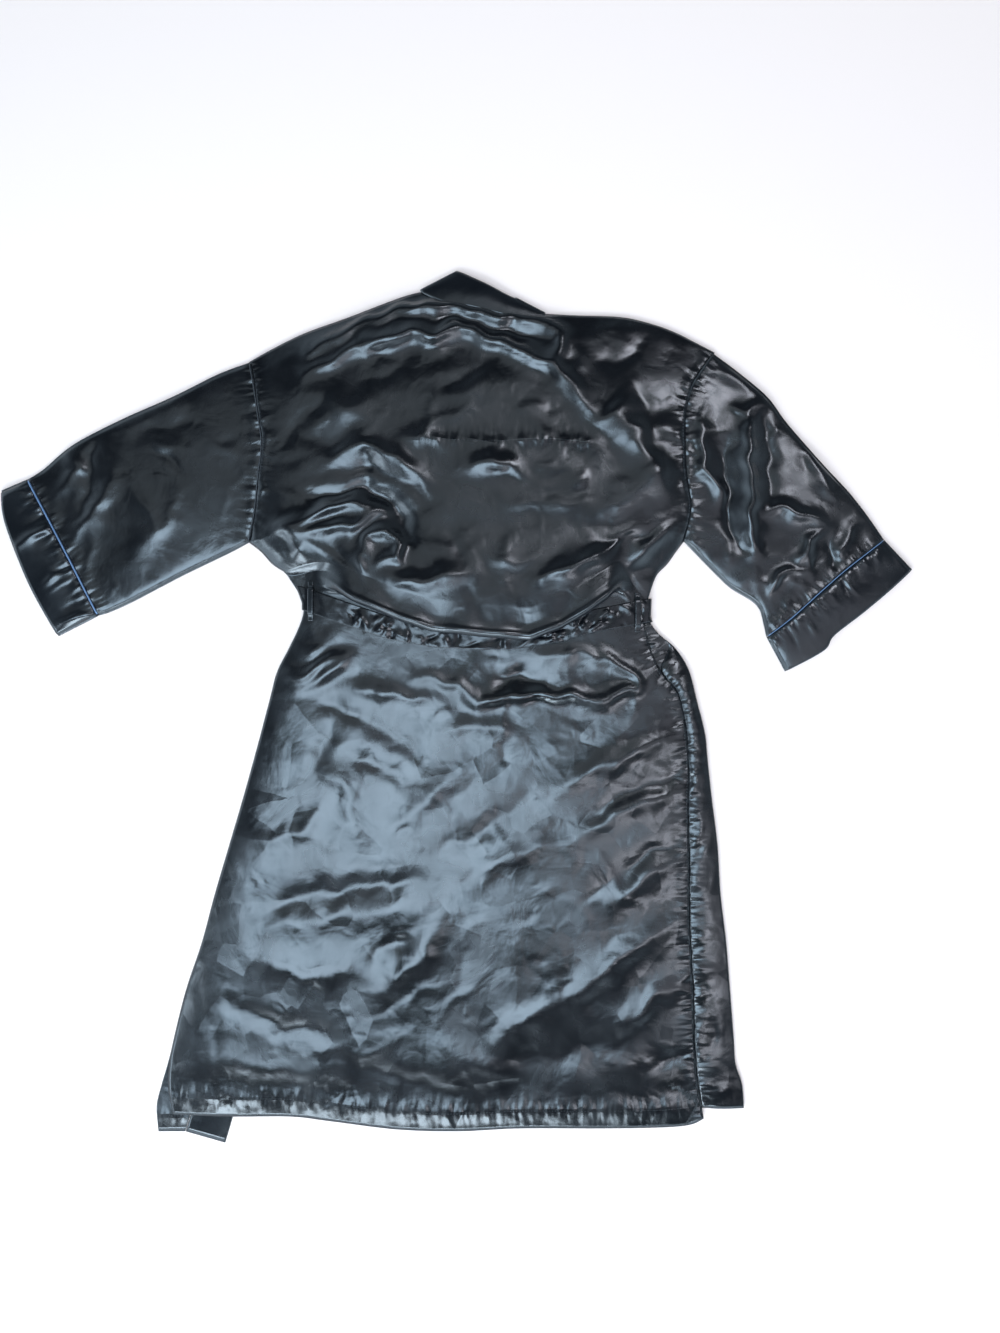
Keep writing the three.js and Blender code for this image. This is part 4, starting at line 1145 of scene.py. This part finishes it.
def stitch_row(name, path):
    """One mesh of short stitches along a path; gives their number."""
    route = curve(path)
    total = sum(math.dist(a, b) for a, b in zip(path, path[1:]))
    count = int(total / STITCH_PITCH)
    bm = bmesh.new()
    for i in range(count):
        t = (i + 0.5) / count
        (x, y), (x1, y1) = route(np.array(t)), route(np.array(min(1, t + 0.5 * STITCH_LENGTH / total)))
        a, b = top_of_cloth(x, y), top_of_cloth(x1, y1)
        if a is None or b is None or not 1e-5 <= (b - a).length <= 3 * STITCH_LENGTH * MM:
            continue
        verts = bmesh.ops.create_icosphere(bm, subdivisions=1, radius=STITCH_RADIUS * MM)["verts"]
        bmesh.ops.scale(bm, verts=verts, vec=(0.5 * STITCH_LENGTH / STITCH_RADIUS, 1, 0.8))
        turned_to(bm, verts, (1, 0, 0), (b - a).normalized(), a + Vector((0, 0, 0.5 * STITCH_RADIUS * MM)))
    gown_piece(name, bm).data.materials.append(thread)
    return count


ROWS = {
    "hem": beside(outline["hem"][1:-1], HEM_TURN),
    "armhole_left": beside(outline["armhole_left"], -3),
    "armhole_right": beside(outline["armhole_right"], 3),
    "side_right": beside(outline["seam_right"], 3),
    "back": BACK_LINE,
    "cuff_left": beside(outline["cuff_seam_left"], -3.5),
    "cuff_right": beside(outline["cuff_seam_right"], 3.5),
}
print("stitches:", {row: stitch_row(f"stitches_{row}", path) for row, path in ROWS.items()})

# %% [markdown]
# The cuffs' seams carry a thin raised edge whose pale blue is a painted highlight, the light that such an
# edge catches, and the left armhole's seam stands up as a thin rolled edge. Both are round cords sewn along a
# seam: circles are set one after another on the cloth and bridged into a skin.

# %% The cuffs' pale edges (a painted highlight) and the rolled edge
CORD_RINGS, CORD_SIDES = 60, 8


def piping(name, path, radius, material):
    """A thin round edge along a seam, on top of the cloth."""
    route = curve(path)
    line = [top_of_cloth(*route(np.array(t))) for t in np.linspace(0.01, 0.99, CORD_RINGS)]
    line = [p + Vector((0, 0, 0.4 * radius * MM)) for p in line if p is not None]
    bm = bmesh.new()
    rings = []
    for i, p in enumerate(line):
        way = (line[min(i + 1, len(line) - 1)] - line[max(i - 1, 0)]).normalized()
        verts = bmesh.ops.create_circle(bm, cap_ends=False, radius=radius * MM, segments=CORD_SIDES)["verts"]
        turned_to(bm, verts, (0, 0, 1), way, p)
        rings.append(list({e for v in verts for e in v.link_edges}))
    for a, b in zip(rings, rings[1:]):
        bmesh.ops.bridge_loops(bm, edges=a + b)
    bmesh.ops.holes_fill(bm, edges=bm.edges, sides=CORD_SIDES)
    bmesh.ops.recalc_face_normals(bm, faces=bm.faces)
    gown_piece(name, bm).data.materials.append(material)
    return len(line)


print("rings:", piping("seam_edge_cuff_left", outline["cuff_seam_left"], 0.9, seam_edge_painted_highlight),
      piping("seam_edge_cuff_right", outline["cuff_seam_right"], 0.5, seam_edge_painted_highlight),
      piping("seam_roll_armhole_left", outline["armhole_left"], 0.75, thread))

# %% [markdown]

# %% [markdown]
# ## Floor, light and camera
# Satin shows its surroundings more than its own colour, so the room is built from what the cloth should
# mirror. The ceiling is dark and the walls grow bright towards the window's side, which gives each fold one
# lit flank. Flat cloth mirrors what is overhead, and there a wide panel of cool light hangs where its
# mirror image falls on the left and the middle of the skirt. Weaker and warmer panels do the same for the
# right side, and the rest falls away into the dark. The camera looks straight down, as one does at a gown
# spread on a bed.

# %% Floor and background
FLOOR_REACH = 4.0
bm = bmesh.new()
bmesh.ops.create_grid(bm, x_segments=1, y_segments=1, size=FLOOR_REACH)
floor = to_object("floor", bm)
floor.location.z = -0.0004
pale = bpy.data.materials.new("pale_floor")
pale.use_nodes = True
feed(pale.node_tree.nodes["Principled BSDF"], {"Base Color": (0.97, 0.88, 0.83, 1), "Roughness": 0.9})
floor.data.materials.append(pale)

WINDOW_SIDE = (-0.55, -0.83, 0.0)    # the room is brighter on the side that its window is on
world = bpy.data.worlds.new("room")
world.use_nodes = True
sky = world.node_tree
direction = add_node(sky, "TexCoord").outputs["Generated"]
up = add_node(sky, "SeparateXYZ", {0: direction}).outputs["Z"]
level = map_range(sky, up, (0.25, 0.84), (1.6, 0.035), interpolation_type="SMOOTHSTEP")
towards = vector_node(sky, "DOT_PRODUCT", direction, WINDOW_SIDE)["Value"]
side_share = map_range(sky, towards, (-0.9, 0.9), (0.16, 1.6))
feed(sky.nodes["Background"], {"Color": (0.76, 0.88, 1.0, 1),
                               "Strength": math_node(sky, "MULTIPLY", level, side_share)})
bpy.context.scene.world = world
print("room:", world.name, "floor reach:", FLOOR_REACH)


# %% Lights
def area_light(name, place, aim, size, power, colour):
    """A rectangular panel of light that faces what it is aimed at."""
    lamp = bpy.data.lights.new(name, "AREA")
    lamp.shape = "RECTANGLE"
    lamp.size, lamp.size_y = size
    lamp.energy = power
    lamp.color = colour
    holder = bpy.data.objects.new(name, lamp)
    holder.location = place
    holder.rotation_euler = (Vector(aim) - Vector(place)).to_track_quat("-Z", "Y").to_euler()
    bpy.context.scene.collection.objects.link(holder)


LIGHTS = {   # place, what it is aimed at, size, watts, colour
    "window": ((-0.335, -0.385, 2.0), (-0.075, -0.125, 0), (0.82, 1.04), 21.5, (0.72, 0.86, 1.0)),
    "low_window": ((-0.45, -1.55, 1.15), (0, -0.05, 0), (1.3, 0.42), 22, (0.84, 0.92, 1.0)),
    "side_window": ((-1.50, -0.70, 1.10), (-0.15, -0.2, 0), (0.28, 0.7), 4.5, (0.80, 0.90, 1.0)),
    "ceiling": ((-0.25, 0.64, 2.0), (-0.1, 0.3, 0), (1.6, 0.85), 2.4, (0.92, 0.97, 1.0)),
    "right_wall": ((0.88, -0.28, 1.9), (0.2, -0.1, 0), (1.0, 1.25), 3.0, (1.0, 0.93, 1.0)),
    "right_window": ((0.76, -0.72, 2.0), (0.2, -0.1, 0), (0.5, 0.3), 3.2, (1.0, 0.94, 1.0)),
    "far_lamp": ((0.9, 0.9, 2.2), (0.1, 0.1, 0), (0.5, 0.5), 8, (1.0, 0.94, 1.0)),
}
for name, values in LIGHTS.items():
    area_light(name, *values)
print("lights:", len(LIGHTS))

# %% Camera
VIEW_MIDDLE = (0.0463, 0.0440)
FRAME_HEIGHT = 1.4263
lens = bpy.data.cameras.new("camera")
lens.lens = 34
lens.sensor_width = 36
camera = bpy.data.objects.new("camera", lens)
camera.location = (*VIEW_MIDDLE, FRAME_HEIGHT * lens.lens / lens.sensor_width + 0.008)
bpy.context.scene.collection.objects.link(camera)
bpy.context.scene.camera = camera
bpy.context.scene.view_settings.view_transform = "Standard"
print("camera height:", round(camera.location.z, 4))
